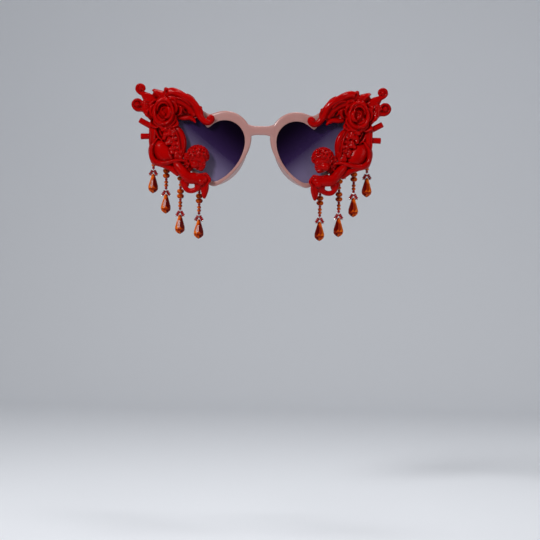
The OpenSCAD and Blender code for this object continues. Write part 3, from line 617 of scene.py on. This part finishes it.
# The crest is the upper casting. A rolled acanthus leaf runs from the rose over the rim's top
# and ends in a scroll by the cleft, smaller leaves stand on it, and two stems end in curls.
crest_shells = [
    limb([[0.2, 0.42, 4.6, 3.4, 3.2], [0.15, 0.427, 5, 3.4, 3.4], [0.09, 0.405, 5.4, 3.3, 3.6],
          [0.03, 0.372, 5.6, 3.1, 3.7], [-0.03, 0.337, 5.4, 3, 3.6], [-0.075, 0.292, 5, 3, 3.4],
          [-0.1, 0.244, 4.6, 3, 3.2], [-0.124, 0.19, 4.4, 2.8, 3], [-0.15, 0.15, 4.2, 2.5, 2.8],
          [-0.185, 0.122, 4.2, 2.4, 2.6], [-0.222, 0.12, 4.2, 2.3, 2.4],
          [-0.248, 0.143, 4.3, 2, 2.2], [-0.25, 0.168, 4.5, 1.5, 2], [-0.23, 0.178, 4.8, 1.2, 1.8],
          [-0.215, 0.162, 5.2, 1, 1.6], [-0.223, 0.146, 5.5, 0.9, 1.4]], steps=170, ease=0.02,
         flutes=5, flute_depth=0.07, around=40),
    egg(-0.226, 0.155, 4.2, 2.6, 2.6, 2.6),
    limb([[0.21, 0.36, 3.6, 3.8, 3.2], [0.12, 0.345, 3.8, 3.8, 3.2], [0.05, 0.315, 3.8, 3.2, 3.2],
          [-0.01, 0.275, 3.4, 2.8, 2.8], [-0.045, 0.23, 3, 2.6, 2.6], [-0.075, 0.18, 3, 2.2, 2.4]],
         steps=60, flutes=6, flute_depth=0.08, around=40),
    rib([[0.14, 0.43, 7, 0.8, 1.6], [0.07, 0.412, 7.6, 1, 1.8], [0, 0.37, 7.6, 1, 1.8],
         [-0.055, 0.318, 7.2, 0.9, 1.6], [-0.09, 0.26, 6.4, 0.7, 1.4], [-0.12, 0.2, 6, 0.4, 1]],
        70),
    rib([[0.115, 0.36, 6.2, 0.6, 1.2], [0.06, 0.35, 6.8, 0.8, 1.6], [0.01, 0.32, 6.6, 0.8, 1.6],
         [-0.03, 0.28, 6, 0.6, 1.3]], 50),
    rib([[-0.08, 0.325, 5.4, 0.6, 1.4], [-0.116, 0.278, 5.8, 0.8, 1.8],
         [-0.145, 0.235, 5.6, 0.9, 1.8], [-0.155, 0.19, 5.2, 0.6, 1.4]], 40),
    egg(-0.133, 0.258, 4.6, 1.2, 1.8, 2.2),
    blade([[0.06, 0.37, 2.6, 5], [0.02, 0.32, 2.2, 7.4], [0, 0.26, 1.9, 8.2], [0, 0.205, 1.9, 7.6],
           [0.02, 0.165, 2.2, 5.6]], 2, 1.6),
    rib([[0.095, 0.27, 3.8, 0.8, 1.5], [0.08, 0.315, 4.6, 0.8, 1.6], [0.05, 0.345, 5, 0.8, 1.6],
         [0, 0.335, 5, 0.6, 1.4]], 40),
    rib([[0.03, 0.3, 2.8, 0.4, 0.9], [0.045, 0.27, 3.4, 0.8, 1.3], [0.038, 0.235, 3.4, 0.8, 1.3],
         [0.012, 0.212, 2.8, 0.4, 0.9]], 40),
    rib([[-0.02, 0.272, 2.8, 0.4, 0.9], [-0.005, 0.25, 3.2, 0.7, 1.2],
         [-0.015, 0.215, 3.2, 0.7, 1.2], [-0.04, 0.2, 2.8, 0.4, 0.9]], 40),
    limb([[0.1, 0.172, 2.4, 1.6, 1.8], [0.04, 0.165, 2.8, 1.8, 1.9], [-0.01, 0.166, 3, 1.8, 2],
          [-0.04, 0.158, 3.2, 1.5, 1.8], [-0.066, 0.138, 3.4, 1.1, 1.5],
          [-0.083, 0.114, 3.4, 0.7, 1.1]], steps=60, ease=0.06),
    limb([[0.24, 0.375, 4, 4.4, 3], [0.29, 0.405, 4.4, 3.4, 2.8], [0.325, 0.43, 4.6, 2.2, 2.4],
          [0.352, 0.452, 4.8, 0.9, 1.8]], steps=40, flutes=5, flute_depth=0.08, around=32),
    rib([[0.36, 0.445, 5, 0.5, 1.2], [0.325, 0.42, 6.4, 0.8, 1.6], [0.29, 0.385, 6.4, 0.8, 1.6],
         [0.27, 0.345, 5.8, 0.5, 1.2]], 30),
    rib([[0.2, 0.44, 6.4, 1.2, 1.6], [0.222, 0.456, 5.6, 1.3, 1.8], [0.228, 0.43, 5.4, 1.1, 1.8],
         [0.232, 0.385, 5.2, 0.7, 1.6]], 30),
    limb([[0.32, 0.3, 2.4, 4.8, 2.6], [0.375, 0.345, 3.4, 4.4, 2.8], [0.42, 0.38, 3.9, 3.7, 2.6],
          [0.456, 0.409, 4.2, 2.2, 2.3], [0.491, 0.421, 4.4, 1.4, 2.2],
          [0.516, 0.449, 4.6, 1.2, 2.2], [0.508, 0.486, 4.8, 1.3, 2.1], [0.477, 0.498, 5, 1.3, 2],
          [0.446, 0.482, 5.2, 1.2, 1.9], [0.438, 0.454, 5.4, 1, 1.7],
          [0.455, 0.436, 5.6, 0.8, 1.4]], steps=120, ease=0.02, flutes=7, flute_depth=0.08,
         around=42),
    egg(0.477, 0.459, 4.2, 2.9, 2.9, 2),
    egg(0.477, 0.461, 4.8, 2.2, 2.2, 2.8),
    limb([[0.33, 0.215, 2.4, 4.4, 2.4], [0.41, 0.245, 3.2, 3.2, 2.4], [0.46, 0.252, 3.6, 2, 2.2],
          [0.508, 0.25, 4.2, 1.5, 2.2], [0.544, 0.276, 4.4, 1.25, 2.1],
          [0.552, 0.313, 4.6, 1.2, 2.1], [0.527, 0.345, 4.8, 1.2, 2], [0.488, 0.347, 5, 1.1, 1.9],
          [0.462, 0.32, 5.2, 1, 1.7], [0.47, 0.287, 5.4, 0.8, 1.4]], steps=120, ease=0.02),
    egg(0.507, 0.299, 4.2, 3, 3, 2),
    egg(0.508, 0.3, 4.8, 2.3, 2.3, 2.8),
    egg(0.455, 0.27, 3, 2.6, 2.8, 2.3),
    egg(0.318, 0.405, 2.6, 3.2, 3.2, 2.6),
    egg(0.205, 0.405, 3.6, 3.4, 3.6, 3),
    limb([[0.33, 0.145, 2.4, 2.6, 2.2], [0.39, 0.2, 2.9, 2.4, 2.2], [0.44, 0.242, 3.2, 2, 2]],
         steps=30),
    egg(0.365, 0.28, 1.5, 6.2, 8.8, 3.6),
    egg(0.3, 0.35, 1, 6.6, 7.4, 3.4),
    egg(0.19, 0.37, 1, 8, 6.6, 3.8),
    egg(0.08, 0.31, 0.6, 8.4, 7, 3),
    egg(0.235, 0.25, 0, 11, 10, 2.8)]
# A fan of ribs runs from the lower curl to the rose
for k in range(7):
    crest_shells.append(limb([
        [0.462, 0.322 - 0.011 * k, 4.2, 0.6, 1.2], [0.43, 0.342 - 0.02 * k, 5.2, 0.85, 1.6],
        [0.39, 0.335 - 0.027 * k, 4.6, 0.9, 1.6], [0.355, 0.305 - 0.029 * k, 3.2, 0.7, 1.3]],
        steps=30, around=12))
crest_mesh = casting("crest", crest_shells, 0.36)

red_resin, tree, shader = paint("cast_red_resin", (0.3, 0.0, 0.0), 0.15, IOR=1.45,
                                Specular_IOR_Level=0.08)
speckle(tree, shader, "Base Color", 120, 4, (0.27, 0.0, 0.0), (0.34, 0.0, 0.0))
speckled = shader.inputs["Base Color"].links[0].from_socket
# Painted shade: the resin's colour darkens to a near black red where a point lies deep in a crease.
painted_crease_shade_share = tree.nodes.new("ShaderNodeAttribute")
painted_crease_shade_share.attribute_name = "painted_crease_shade"
shade = tree.nodes.new("ShaderNodeMix")
shade.data_type = "RGBA"
shade.inputs["B"].default_value = (0.045, 0.0, 0.0, 1)
tree.links.new(painted_crease_shade_share.outputs["Fac"], shade.inputs["Factor"])
tree.links.new(speckled, shade.inputs["A"])
tree.links.new(shade.outputs["Result"], shader.inputs["Base Color"])
speckle(tree, shader, "Roughness", 400, 3, 0.1, 0.2)
grain(tree, shader, 1300, 3, 0.16, 0.00018)
ROSE_UP_W = (0.235, 0.222)


def fix_casting(name, mesh, node):
    """Puts a casting on each side, glued to the rim's face."""
    for side in SIDES:
        piece = place_mesh(side + "_" + name, mesh, on_side(side), side == "right")
        piece.data.materials.append(red_resin)
        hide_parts(side + "_" + node)
        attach(piece, "front")


fix_casting("crest_casting", crest_mesh, "crest")

# The rose is its own casting, set in a round seat between the two others. Eight ruffled outer
# petals and five broad ones stand round a tall cup of three petals with rolled lips and a bud.
PETAL_T, CUP_TALL = 1.1, 1.12


def petal(middle, spread, profile, ruffle, phase, draw_in, tall=1.0):
    """A petal over an arc of the rose. profile rows are [radius, height]; the lip draws in
    towards the petal's two edges, ruffle waves it, and tall stretches its circle upwards."""
    rows = smooth_path(profile, 22)
    p = np.linspace(0, 1, 22)[None]
    a = np.linspace(-1, 1, 33)[:, None]
    angle = np.radians(middle + spread / 2 * a * (1 - 0.12 * p))
    draw = 1 - draw_in * np.abs(a) ** 3 * p
    wave = ruffle * p ** 2 * np.sin(5 * a + phase)
    r = rows[:, 0][None] * draw + wave * 0.5
    h = rows[:, 1][None] - 0.9 * np.abs(a) ** 3 * p + wave
    way = np.gradient(rows, axis=0)
    way /= np.linalg.norm(way, axis=1)[:, None]
    edge = np.sqrt(np.clip(1 - (2 * p - 1) ** 6, 0, 1)) * PETAL_T / 2
    side = np.array([[1], [-1]]) * edge
    layers = [(r - s * way[:, 1][None], h + s * way[:, 0][None]) for s in side[:, None]]
    radius = np.concatenate([layers[0][0], layers[1][0][:, ::-1]], axis=1)
    height = np.concatenate([layers[0][1], layers[1][1][:, ::-1]], axis=1)
    both = np.concatenate([angle, angle[:, ::-1]], axis=1)
    at = spot(*ROSE_UP_W, 0)
    return skin(flat_back(np.stack([at[0] + radius * np.cos(both) / tall, FACE_Y - height,
                                    at[2] + radius * np.sin(both) * tall], -1)))


def lip(radius, start, stop, height, half, deep, draw, tall):
    """A petal's rolled edge along an arc of the rose. It draws in by draw and sinks at its ends."""
    share = np.linspace(0, 1, 9)
    angle = np.radians(start + (stop - start) * share)
    bow = np.sin(math.pi * share)
    r = (radius - draw * (1 - bow)) / ORNAMENT
    return limb(np.column_stack([ROSE_UP_W[0] - r * np.cos(angle) / tall,
                                 ROSE_UP_W[1] + r * np.sin(angle) * tall,
                                 height - 1.2 * (1 - bow) ** 2, half * (0.45 + 0.55 * bow),
                                 deep * (0.6 + 0.4 * bow)]), steps=60, ease=0.08, around=14)


rose_shells = [egg(*ROSE_UP_W, 1.4, 11, 10.4, 3.2), egg(*ROSE_UP_W, 1.4, 7, 9, 6.5)]
for middle, reach in ((8, 14.6), (52, 13.6), (97, 12.6), (142, 13.2), (186, 14.4), (232, 15),
                      (270, 13.2), (312, 15)):
    rose_shells.append(petal(
        middle, 50, [[6, 2.6], [9, 3.4], [reach - 2.8, 4.4], [reach - 1.3, 6.9],
                     [reach - 0.2, 6.8], [reach, 4]], 1.1, 0.04 * middle, 0.4))
for middle, reach in ((30, 11.8), (100, 11.2), (172, 11.6), (245, 11.8), (315, 11.9)):
    rose_shells.append(petal(
        middle, 72, [[7, 4.6], [9, 5.4], [reach - 1.4, 7.2], [reach - 0.3, 7.3], [reach, 5.4]],
        0.45, 0.05 * middle, 0.26, 1.03))
for middle, high in ((215, 0), (88, 0.2), (-38, 0.7)):
    rose_shells.append(petal(
        middle, 146, [[6.6, 7], [7.4, 8.8], [8.3, 9.5 + high], [9, 9.5 + high], [9.6, 8.2],
                      [10, 5.6]], 0.2, 0.03 * middle, 0.12, CUP_TALL))
rose_shells += [lip(5.7, -72, 48, 9.4, 1.8, 2.2, 1.6, CUP_TALL),
                lip(6.3, 30, 176, 8.8, 0.9, 1.9, 0.9, CUP_TALL),
                lip(5.8, 196, 292, 7.6, 1.2, 1.6, 0.6, CUP_TALL),
                lip(2.8, 70, 215, 7.6, 0.8, 1.5, 0.9, 1.3),
                limb([[0.262, 0.238, 7.2, 1, 1], [0.24, 0.205, 7.6, 1.5, 1.3],
                      [0.215, 0.178, 7.2, 1.2, 1.2]], steps=30, ease=0.3, around=16)]
rose_mesh = casting("rose", rose_shells, 0.26)
fix_casting("rose_casting", rose_mesh, "rose")

# The cherub is the lower casting. Its wing hangs from under the rose, drapery sweeps round its
# hip, its arm reaches towards the bridge with a fold of cloth, and small curls cover its head.
cherub_shells = [
    limb([[0.345, 0.13, 2.6, 3.1, 2.8], [0.346, 0.04, 2.8, 3, 2.9], [0.348, -0.05, 2.8, 2.9, 2.9],
          [0.342, -0.15, 2.8, 2.8, 2.6]]),
    rib([[0.378, 0.12, 4, 0.8, 1.4], [0.374, 0.03, 4.6, 0.9, 1.5], [0.374, -0.06, 4.6, 0.9, 1.5],
         [0.37, -0.12, 4.6, 0.7, 1.4]]),
    blade([[0.26, 0.13, 2.6, 9.5], [0.24, 0.02, 2.6, 9.5], [0.2, -0.12, 2.8, 10],
           [0.12, -0.26, 3.2, 8]], 2.6, 0.2),
    egg(0.235, 0.19, 0, 10.5, 9, 2.8),
    rib([[0.33, 0.075, 3.2, 0.6, 1.2], [0.31, 0.02, 4, 0.8, 1.5], [0.285, -0.03, 4.2, 0.8, 1.5],
         [0.245, -0.06, 4, 0.6, 1.3]]),
    rib([[0.29, 0.09, 3, 0.5, 1.2], [0.275, 0.03, 3.6, 0.7, 1.3], [0.25, -0.02, 3.6, 0.6, 1.2]]),
    egg(0.29, -0.16, 0.6, 8.4, 10.2, 3),
    limb([[0.31, -0.06, 2.4, 3, 2.6], [0.28, -0.115, 2.8, 5.8, 3.9], [0.245, -0.17, 3, 6.8, 4.2],
          [0.2, -0.225, 3, 6.2, 4], [0.13, -0.26, 2.8, 3.4, 3]], steps=60, ease=0.25, around=36),
    limb([[0.298, -0.035, 4.2, 0.7, 1.5], [0.322, -0.07, 4.8, 1.1, 2],
          [0.345, -0.11, 5.2, 1.5, 2.5], [0.356, -0.16, 5.4, 1.8, 2.8],
          [0.352, -0.215, 5.6, 2.1, 3], [0.33, -0.258, 5.8, 2.3, 3], [0.285, -0.286, 6, 2.3, 2.9],
          [0.21, -0.288, 6.4, 2, 2.7], [0.12, -0.268, 6.8, 1.6, 2.5], [0.05, -0.262, 6.8, 1.3, 2.3],
          [0, -0.275, 6.4, 1.1, 2], [-0.03, -0.31, 5.6, 0.8, 1.6]], steps=140, ease=0.03,
         flutes=3, flute_depth=0.06),
    limb([[0.36, -0.22, 3.8, 1.2, 2], [0.335, -0.28, 4.4, 1.5, 2.4], [0.245, -0.308, 4.8, 1.8, 2.6],
          [0.165, -0.337, 4.8, 2.2, 2.6], [0.115, -0.366, 4.6, 2.6, 2.4],
          [0.068, -0.403, 4.4, 2.4, 2.2]], steps=80, ease=0.05),
    limb([[0.3, -0.24, 2, 4, 2.4], [0.2, -0.29, 2.2, 4.6, 2.6], [0.08, -0.31, 2.4, 5, 2.8],
          [0, -0.33, 2.6, 4.6, 2.8], [-0.04, -0.37, 2.8, 4, 2.8]], steps=60),
    limb([[0.12, -0.285, 5.4, 2, 2.4], [0.085, -0.315, 6.2, 3.2, 3.2],
          [0.045, -0.36, 6.8, 3.6, 3.6], [0.005, -0.41, 7, 3.8, 3.8], [-0.035, -0.437, 7, 4.5, 4],
          [-0.075, -0.442, 7, 4.6, 4], [-0.125, -0.45, 7.2, 4.2, 3.8],
          [-0.175, -0.452, 7, 3.9, 3.5], [-0.215, -0.455, 6.2, 2.4, 2.6]], steps=120, ease=0.05),
    egg(-0.157, -0.48, 8.6, 3, 2.8, 2.6),
    limb([[-0.1, -0.405, 8.2, 1.2, 1.8], [-0.15, -0.41, 8.6, 1.3, 1.9],
          [-0.195, -0.4, 7.4, 1.2, 1.7], [-0.215, -0.415, 6.8, 1.1, 1.6],
          [-0.236, -0.455, 6.4, 1.3, 1.7], [-0.23, -0.49, 6.4, 1, 1.6]], steps=60, around=16),
    limb([[0.035, -0.44, 4.2, 2.2, 2.2], [0.022, -0.51, 4.4, 2.1, 2.2],
          [-0.015, -0.556, 4.6, 2.1, 2.2], [-0.06, -0.564, 4.8, 2.1, 2.3],
          [-0.1, -0.55, 5, 2.2, 2.3], [-0.145, -0.52, 5.4, 2.4, 2.4]], steps=80, flutes=3,
         flute_depth=0.06),
    egg(0.01, -0.485, 4.6, 3.4, 4.4, 2.8),
    egg(-0.128, -0.512, 5.4, 3.4, 2.8, 2.8),
    limb([[-0.175, -0.46, 6, 3.2, 2.4], [-0.19, -0.52, 5.6, 3.6, 2.4], [-0.188, -0.585, 5, 2.8, 2],
          [-0.184, -0.645, 4.4, 1, 1.2]], steps=60, ease=0.1, flutes=3, flute_depth=0.1, around=32),
    rib([[-0.228, -0.475, 6.8, 0.8, 1.6], [-0.213, -0.54, 6.8, 0.8, 1.5],
         [-0.194, -0.6, 6, 0.7, 1.2], [-0.184, -0.64, 5.2, 0.4, 0.8]], 40),
    limb([[0.34, 0.07, 2.4, 2.3, 2], [0.4, 0.102, 2.8, 2.3, 2.1], [0.44, 0.124, 3, 2.3, 2.1],
          [0.486, 0.15, 3.2, 2.2, 2]], ease=0.015),
    limb([[0.34, -0.018, 2.4, 2.2, 2], [0.4, -0.016, 2.8, 2.3, 2.1],
          [0.472, -0.016, 3.1, 2.4, 2.1]], ease=0.015),
    limb([[0.12, 0.08, 3.4, 2, 2], [0.07, 0.015, 4.2, 2.6, 2.4], [0.042, -0.06, 4.4, 2.8, 2.5],
          [0.038, -0.14, 4.4, 2.5, 2.4], [0.045, -0.23, 4.6, 1.8, 2]], steps=80, flutes=6,
         flute_depth=0.06, around=40),
    limb([[0.135, 0.07, 5.2, 0.8, 1.8], [0.115, 0.03, 6, 0.9, 2], [0.085, -0.03, 6.6, 1, 2.1],
          [0.072, -0.1, 6.6, 1, 2.1], [0.062, -0.17, 6.4, 0.9, 2], [0.05, -0.225, 6, 0.7, 1.6]],
         steps=80, around=16),
    blade([[0.18, 0.1, 3.4, 5.4], [0.165, 0, 4, 5.6], [0.135, -0.12, 4.4, 5.2],
           [0.08, -0.23, 4.6, 3.6]], 3, -0.9),
    egg(-0.112, -0.22, 5.6, 8.3, 7.9, 6.4),
    egg(-0.125, -0.3, 6, 5.4, 5, 4.8),
    egg(-0.094, -0.304, 9.2, 3.8, 3.5, 3.4),
    egg(-0.168, -0.272, 8.2, 2.6, 2.2, 2.6),
    egg(-0.186, -0.308, 8.2, 1.1, 1.3, 1.5),
    egg(-0.176, -0.336, 8, 1.4, 0.8, 1.5),
    egg(-0.15, -0.35, 7.6, 2.3, 1.7, 2.3),
    egg(-0.048, -0.27, 8.8, 1.3, 1.9, 1.5),
    limb([[-0.01, -0.28, 4.4, 2, 2.2], [-0.02, -0.34, 4.2, 1.6, 2], [-0.025, -0.39, 4, 1.4, 1.8]],
         steps=30)]


def feather(tip, height, length, half):
    """One broad feather. It runs down and outwards to its round, raised tip."""
    root = np.array(tip) + length * np.array([-0.38, 0.92])
    middle = (root + tip) / 2
    return limb([[*root, height - 1.2, half * 0.8, 1.1], [*middle, height - 0.2, half, 1.3],
                 [*tip, height + 0.5, half * 0.9, 1.2]], steps=18, ease=0.35, around=14)


# Rows of ruffled feathers lie like shingles. Their tips run from the scalloped edge over the hip
# to the ridge of the long feathers.
EDGE_TIPS = [[0.248, 0.075], [0.246, 0.03], [0.24, -0.018], [0.23, -0.065], [0.204, -0.112],
             [0.172, -0.16], [0.145, -0.205], [0.118, -0.245]]
RIDGE_TIPS = [[0.16, 0.06], [0.138, 0.015], [0.118, -0.025], [0.1, -0.07], [0.085, -0.115],
              [0.07, -0.16], [0.056, -0.2], [0.042, -0.24]]
for row_k, (edge_tip, ridge_tip) in enumerate(zip(EDGE_TIPS, RIDGE_TIPS)):
    count = 4 if row_k < 5 else 3
    for k in range(count):
        tip = np.array(edge_tip) + (np.array(ridge_tip) - edge_tip) * k / (count - 0.5)
        tip += 0.008 * np.array([math.sin(5.1 * k + 2.3 * row_k), math.cos(4.3 * k + 1.9 * row_k)])
        cherub_shells.append(feather(tip, 6.4 + 0.5 * math.sin(6.7 * k + 3.1 * row_k), 0.058, 1.6))

# Small curls sit on the head on a spiral of equal steps, leave the face free and run down the nape
CURLS, CURL_R, HEAD_HALF = 74, 1.1, (8.3, 6.5, 8)
GOLDEN = math.radians(137.5)
head_at = spot(-0.112, -0.22, 5.6)
face_way = np.array([0.16, -0.42, -0.89])
curl_at = []
for k in range(CURLS):
    high = 1 - 1.3 * (k + 0.5) / CURLS
    flat = math.sqrt(1 - high * high)
    out_way = np.array([flat * math.cos(GOLDEN * k), -high, flat * math.sin(GOLDEN * k)])
    if out_way @ face_way < 0.5:
        curl_at.append((head_at + out_way * HEAD_HALF, out_way))
for u, w, height in ((0.005, -0.2, 7.4), (0.015, -0.235, 7), (-0.005, -0.26, 7.2),
                     (-0.025, -0.3, 7), (-0.01, -0.33, 6), (0.005, -0.295, 6.2)):
    curl_at.append((spot(u, w, height), np.array([-0.4, -0.9, 0.1])))
for k, (middle, out_way) in enumerate(curl_at):
    across_way = np.cross(out_way, [0.3, 0.2, 0.9])
    across_way /= np.linalg.norm(across_way)
    third = np.cross(out_way, across_way)
    t = np.linspace(0, 1, 18)
    a = 2.4 * k + 2 * math.pi * 1.1 * t
    r = CURL_R * (1.1 - 0.85 * t)
    line = (middle + out_way * (0.8 * t)[:, None]
            + across_way * (r * np.cos(a))[:, None] + third * (r * np.sin(a))[:, None])
    fat = 0.56 * np.sqrt(np.clip(1 - (2 * t - 1) ** 8, 0.01, 1))
    cherub_shells.append(skin(flat_back(swept(line, fat, fat, up=out_way, around=8))))
cherub_mesh = casting("cherub", cherub_shells, 0.32)
fix_casting("cherub_casting", cherub_mesh, "cherub")

# Each dangle hangs on an eye pin in the casting's back. A jump ring links it to a stiff bead
# wire, which ends in a triangle that carries the drop. All are bright plated wire.
for side in SIDES:
    dress(side + "_eye_pins", plated)
    for k in range(1, 5):
        dress(f"{side}_ring_{k}", plated)
        dress(f"{side}_wire_{k}", plated)

# The strung beads: cut amber rondelles, small cut amber beads, and dark red seed beads, which
# also cover the triangle's two legs. Each is a ring round the wire.
STRINGS = ["rrsaas", "rrsaas", "rrsasrrsaas", "ssrrsaas"]
WIRE_R, LINK_GAP, EYE_R, RING_R = 0.3, 0.15, 1.0, 1.5
STRING_R, BEAD_GAP, SPREAD, TRIANGLE_H = 0.25, 0.08, 3.2, 5.2
BEAD_SIZES = {"r": (2.8, 3.8), "a": (1.6, 2.5), "s": (1.05, 1.9)}
LEG_L = math.hypot(SPREAD, TRIANGLE_H)
LEG_A = math.atan2(SPREAD, TRIANGLE_H)
LEG_PLACES = (0.31, 0.54, 0.77)
LINK = 2 * WIRE_R + LINK_GAP
STRING_TOP = LINK - RING_R - 2 * EYE_R - WIRE_R
BORE_R = STRING_R + BEAD_GAP


def ring_middle(k):
    """Middle of the left side's jump ring k, turned forward on to the flat side."""
    x, y, z = np.array(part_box(f"left_ring_{k}")).mean(0) * 1000
    return np.array([x * math.cos(WRAP) - y * math.sin(WRAP),
                     x * math.sin(WRAP) + y * math.cos(WRAP), z])


def turned(profile, sides, radius, length, bore=0.0, start=0.0):
    """A cut bead or drop turned about its upright axis, in triangles. profile rows are [share of
    the radius, share of the length from start, twist in facets]. A bore runs along its axis."""
    rows = np.array(profile, float)
    a = 2 * math.pi / sides * (np.arange(sides)[None] + rows[:, 2:3])
    r = np.maximum(rows[:, 0:1] * radius, bore)
    z = np.broadcast_to(rows[:, 1:2] * length + start, a.shape)
    points, quads, fans = skin(np.stack([r * np.cos(a), r * np.sin(a), z], -1), loop=bore > 0)
    tris = np.vstack([quads[:, [0, 1, 2]], quads[:, [0, 2, 3]], fans])
    return points, quads[:0], tris


CUT = [[0.5, -1, 0], [0.86, -0.62, 0.5], [1, -0.08, 0], [1, 0.08, 0], [0.86, 0.62, 0.5],
       [0.5, 1, 0], [0, 1, 0], [0, -1, 0]]
ROUND = [[0.7, -1, 0], [0.9, -0.82, 0], [1, -0.35, 0], [1, 0.35, 0], [0.9, 0.82, 0], [0.7, 1, 0],
         [0, 1, 0], [0, -1, 0]]
bead_shapes = {kind: turned(ROUND if kind == "s" else CUT, sides, BEAD_SIZES[kind][0],
                            (BEAD_SIZES[kind][1] - BEAD_GAP) / 2, BORE_R)
               for kind, sides in (("r", 12), ("a", 8), ("s", 10))}
leg_seed = turned(ROUND, 10, 1.2 * BEAD_SIZES["s"][0], (0.23 * LEG_L - BEAD_GAP) / 2, BORE_R)


def put(shell, place, tilt=0.0):
    """A shell turned about the line of sight by tilt and moved to its place."""
    p, quads, fans = shell
    x = p[:, 0] * math.cos(tilt) + p[:, 2] * math.sin(tilt)
    z = -p[:, 0] * math.sin(tilt) + p[:, 2] * math.cos(tilt)
    return np.column_stack([x, p[:, 1], z]) + place, quads, fans


cut_amber, tree, shader = paint("cut_amber", (0.7, 0.09, 0.003), 0.1, IOR=1.5,
                                Specular_IOR_Level=0.02, Transmission_Weight=0.05)
# Painted light: each face's colour runs from dark red to bright orange by its painted share of
# light.
painted_facet_light = tree.nodes.new("ShaderNodeAttribute")
painted_facet_light.attribute_name = "painted_facet_light"
three_tones(tree, shader, painted_facet_light.outputs["Fac"], (0.08, 0.0008, 0.0004), (0.34, 0.024, 0.001),
            (0.78, 0.17, 0.008))
seed_red, tree, shader = paint("seed_red", (0.22, 0.001, 0.003), 0.15, IOR=1.5,
                               Specular_IOR_Level=0.12)
speckle(tree, shader, "Base Color", 350, 2, (0.17, 0.001, 0.002), (0.27, 0.002, 0.004), (0.4, 0.6))


def paint_facet_light(mesh):
    """Gives each cut face its own share of painted light: painted reflections of what facets
    throw back, a painted lit side that grows outwards, and a wave of the face's direction that
    sets neighbours apart."""
    normals = np.zeros(len(mesh.polygons) * 3)
    mesh.polygons.foreach_get("normal", normals)
    way = np.round(normals.reshape(-1, 3), 2)
    share = 0.4 - 0.45 * way[:, 0] + 0.3 * np.sin(9.3 * way[:, 0] + 6.1 * way[:, 2] - 0.9)
    mesh.attributes.new("painted_facet_light", "FLOAT", "FACE").data.foreach_set("value", np.clip(share, 0, 1))
    return mesh


for side in SIDES:
    for k, string in enumerate(STRINGS, start=1):
        ring = ring_middle(k)
        amber, seeds, low = [], [], STRING_TOP
        for kind in string:
            low -= BEAD_SIZES[kind][1] / 2
            (seeds if kind == "s" else amber).append(put(bead_shapes[kind], ring + [0, 0, low]))
            low -= BEAD_SIZES[kind][1] / 2
        for way in (-1, 1):
            for share in LEG_PLACES:
                down = np.array([way * math.sin(LEG_A), 0, -math.cos(LEG_A)]) * LEG_L * share
                seeds.append(put(leg_seed, ring + [0, 0, low] + down, -way * LEG_A))
        amber_piece = place_mesh(f"{side}_amber_beads_{k}", paint_facet_light(raw_mesh("amber", amber)),
                                 on_side(side), side == "right", sharp=12)
        seed_piece = place_mesh(f"{side}_seed_beads_{k}", raw_mesh("seeds", seeds), on_side(side),
                                side == "right", sharp=60)
        for piece, material, slot in ((amber_piece, cut_amber, "amber_glass"),
                                      (seed_piece, seed_red, "seed_glass")):
            piece.data.materials.append(material)
            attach(piece, f"{side}_strand_{k}")
        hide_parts(f"{side}_beads_{k}")

# The drops are pressed and cut amber glass: long facets run up to a slim neck, which is drilled
# across for the triangle's foot, and short ones close the blunt point below.
DROP_L, DROP_R, DROP_SIDES, HOLE_DROP = 15.2, 4.0, 9, 1.4
DROP_CUT = [[0.06, 0, 0], [0.52, 0.065, 0.5], [0.88, 0.16, 0], [1, 0.27, 0.5], [0.93, 0.4, 0],
            [0.6, 0.7, 0], [0.42, 0.86, 0.5], [0.34, 0.93, 0], [0.2, 1, 0]]
drop_shell = turned(DROP_CUT, DROP_SIDES, DROP_R, DROP_L, start=HOLE_DROP - DROP_L)
drill = skin(np.array([[[x, BORE_R * math.cos(a), BORE_R * math.sin(a)] for a in circle(16)]
                       for x in (-DROP_R, DROP_R)]))
drop_mesh = paint_facet_light(fused("drop", [drop_shell, drill], "DIFFERENCE"))
for side in SIDES:
    move_side = on_side(side)
    for k, string in enumerate(STRINGS, start=1):
        foot = STRING_TOP - sum(BEAD_SIZES[kind][1] for kind in string) - TRIANGLE_H
        hole = ring_middle(k) + [0, 0, foot]
        drop = place_mesh(f"{side}_amber_drop_{k}", drop_mesh, lambda p: move_side(p + hole),
                          side == "right", sharp=5)
        drop.data.materials.append(cut_amber)
        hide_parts(f"{side}_drop_{k}")
        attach(drop, f"{side}_pendant_{k}")

bpy.context.scene.view_settings.view_transform = "Standard"
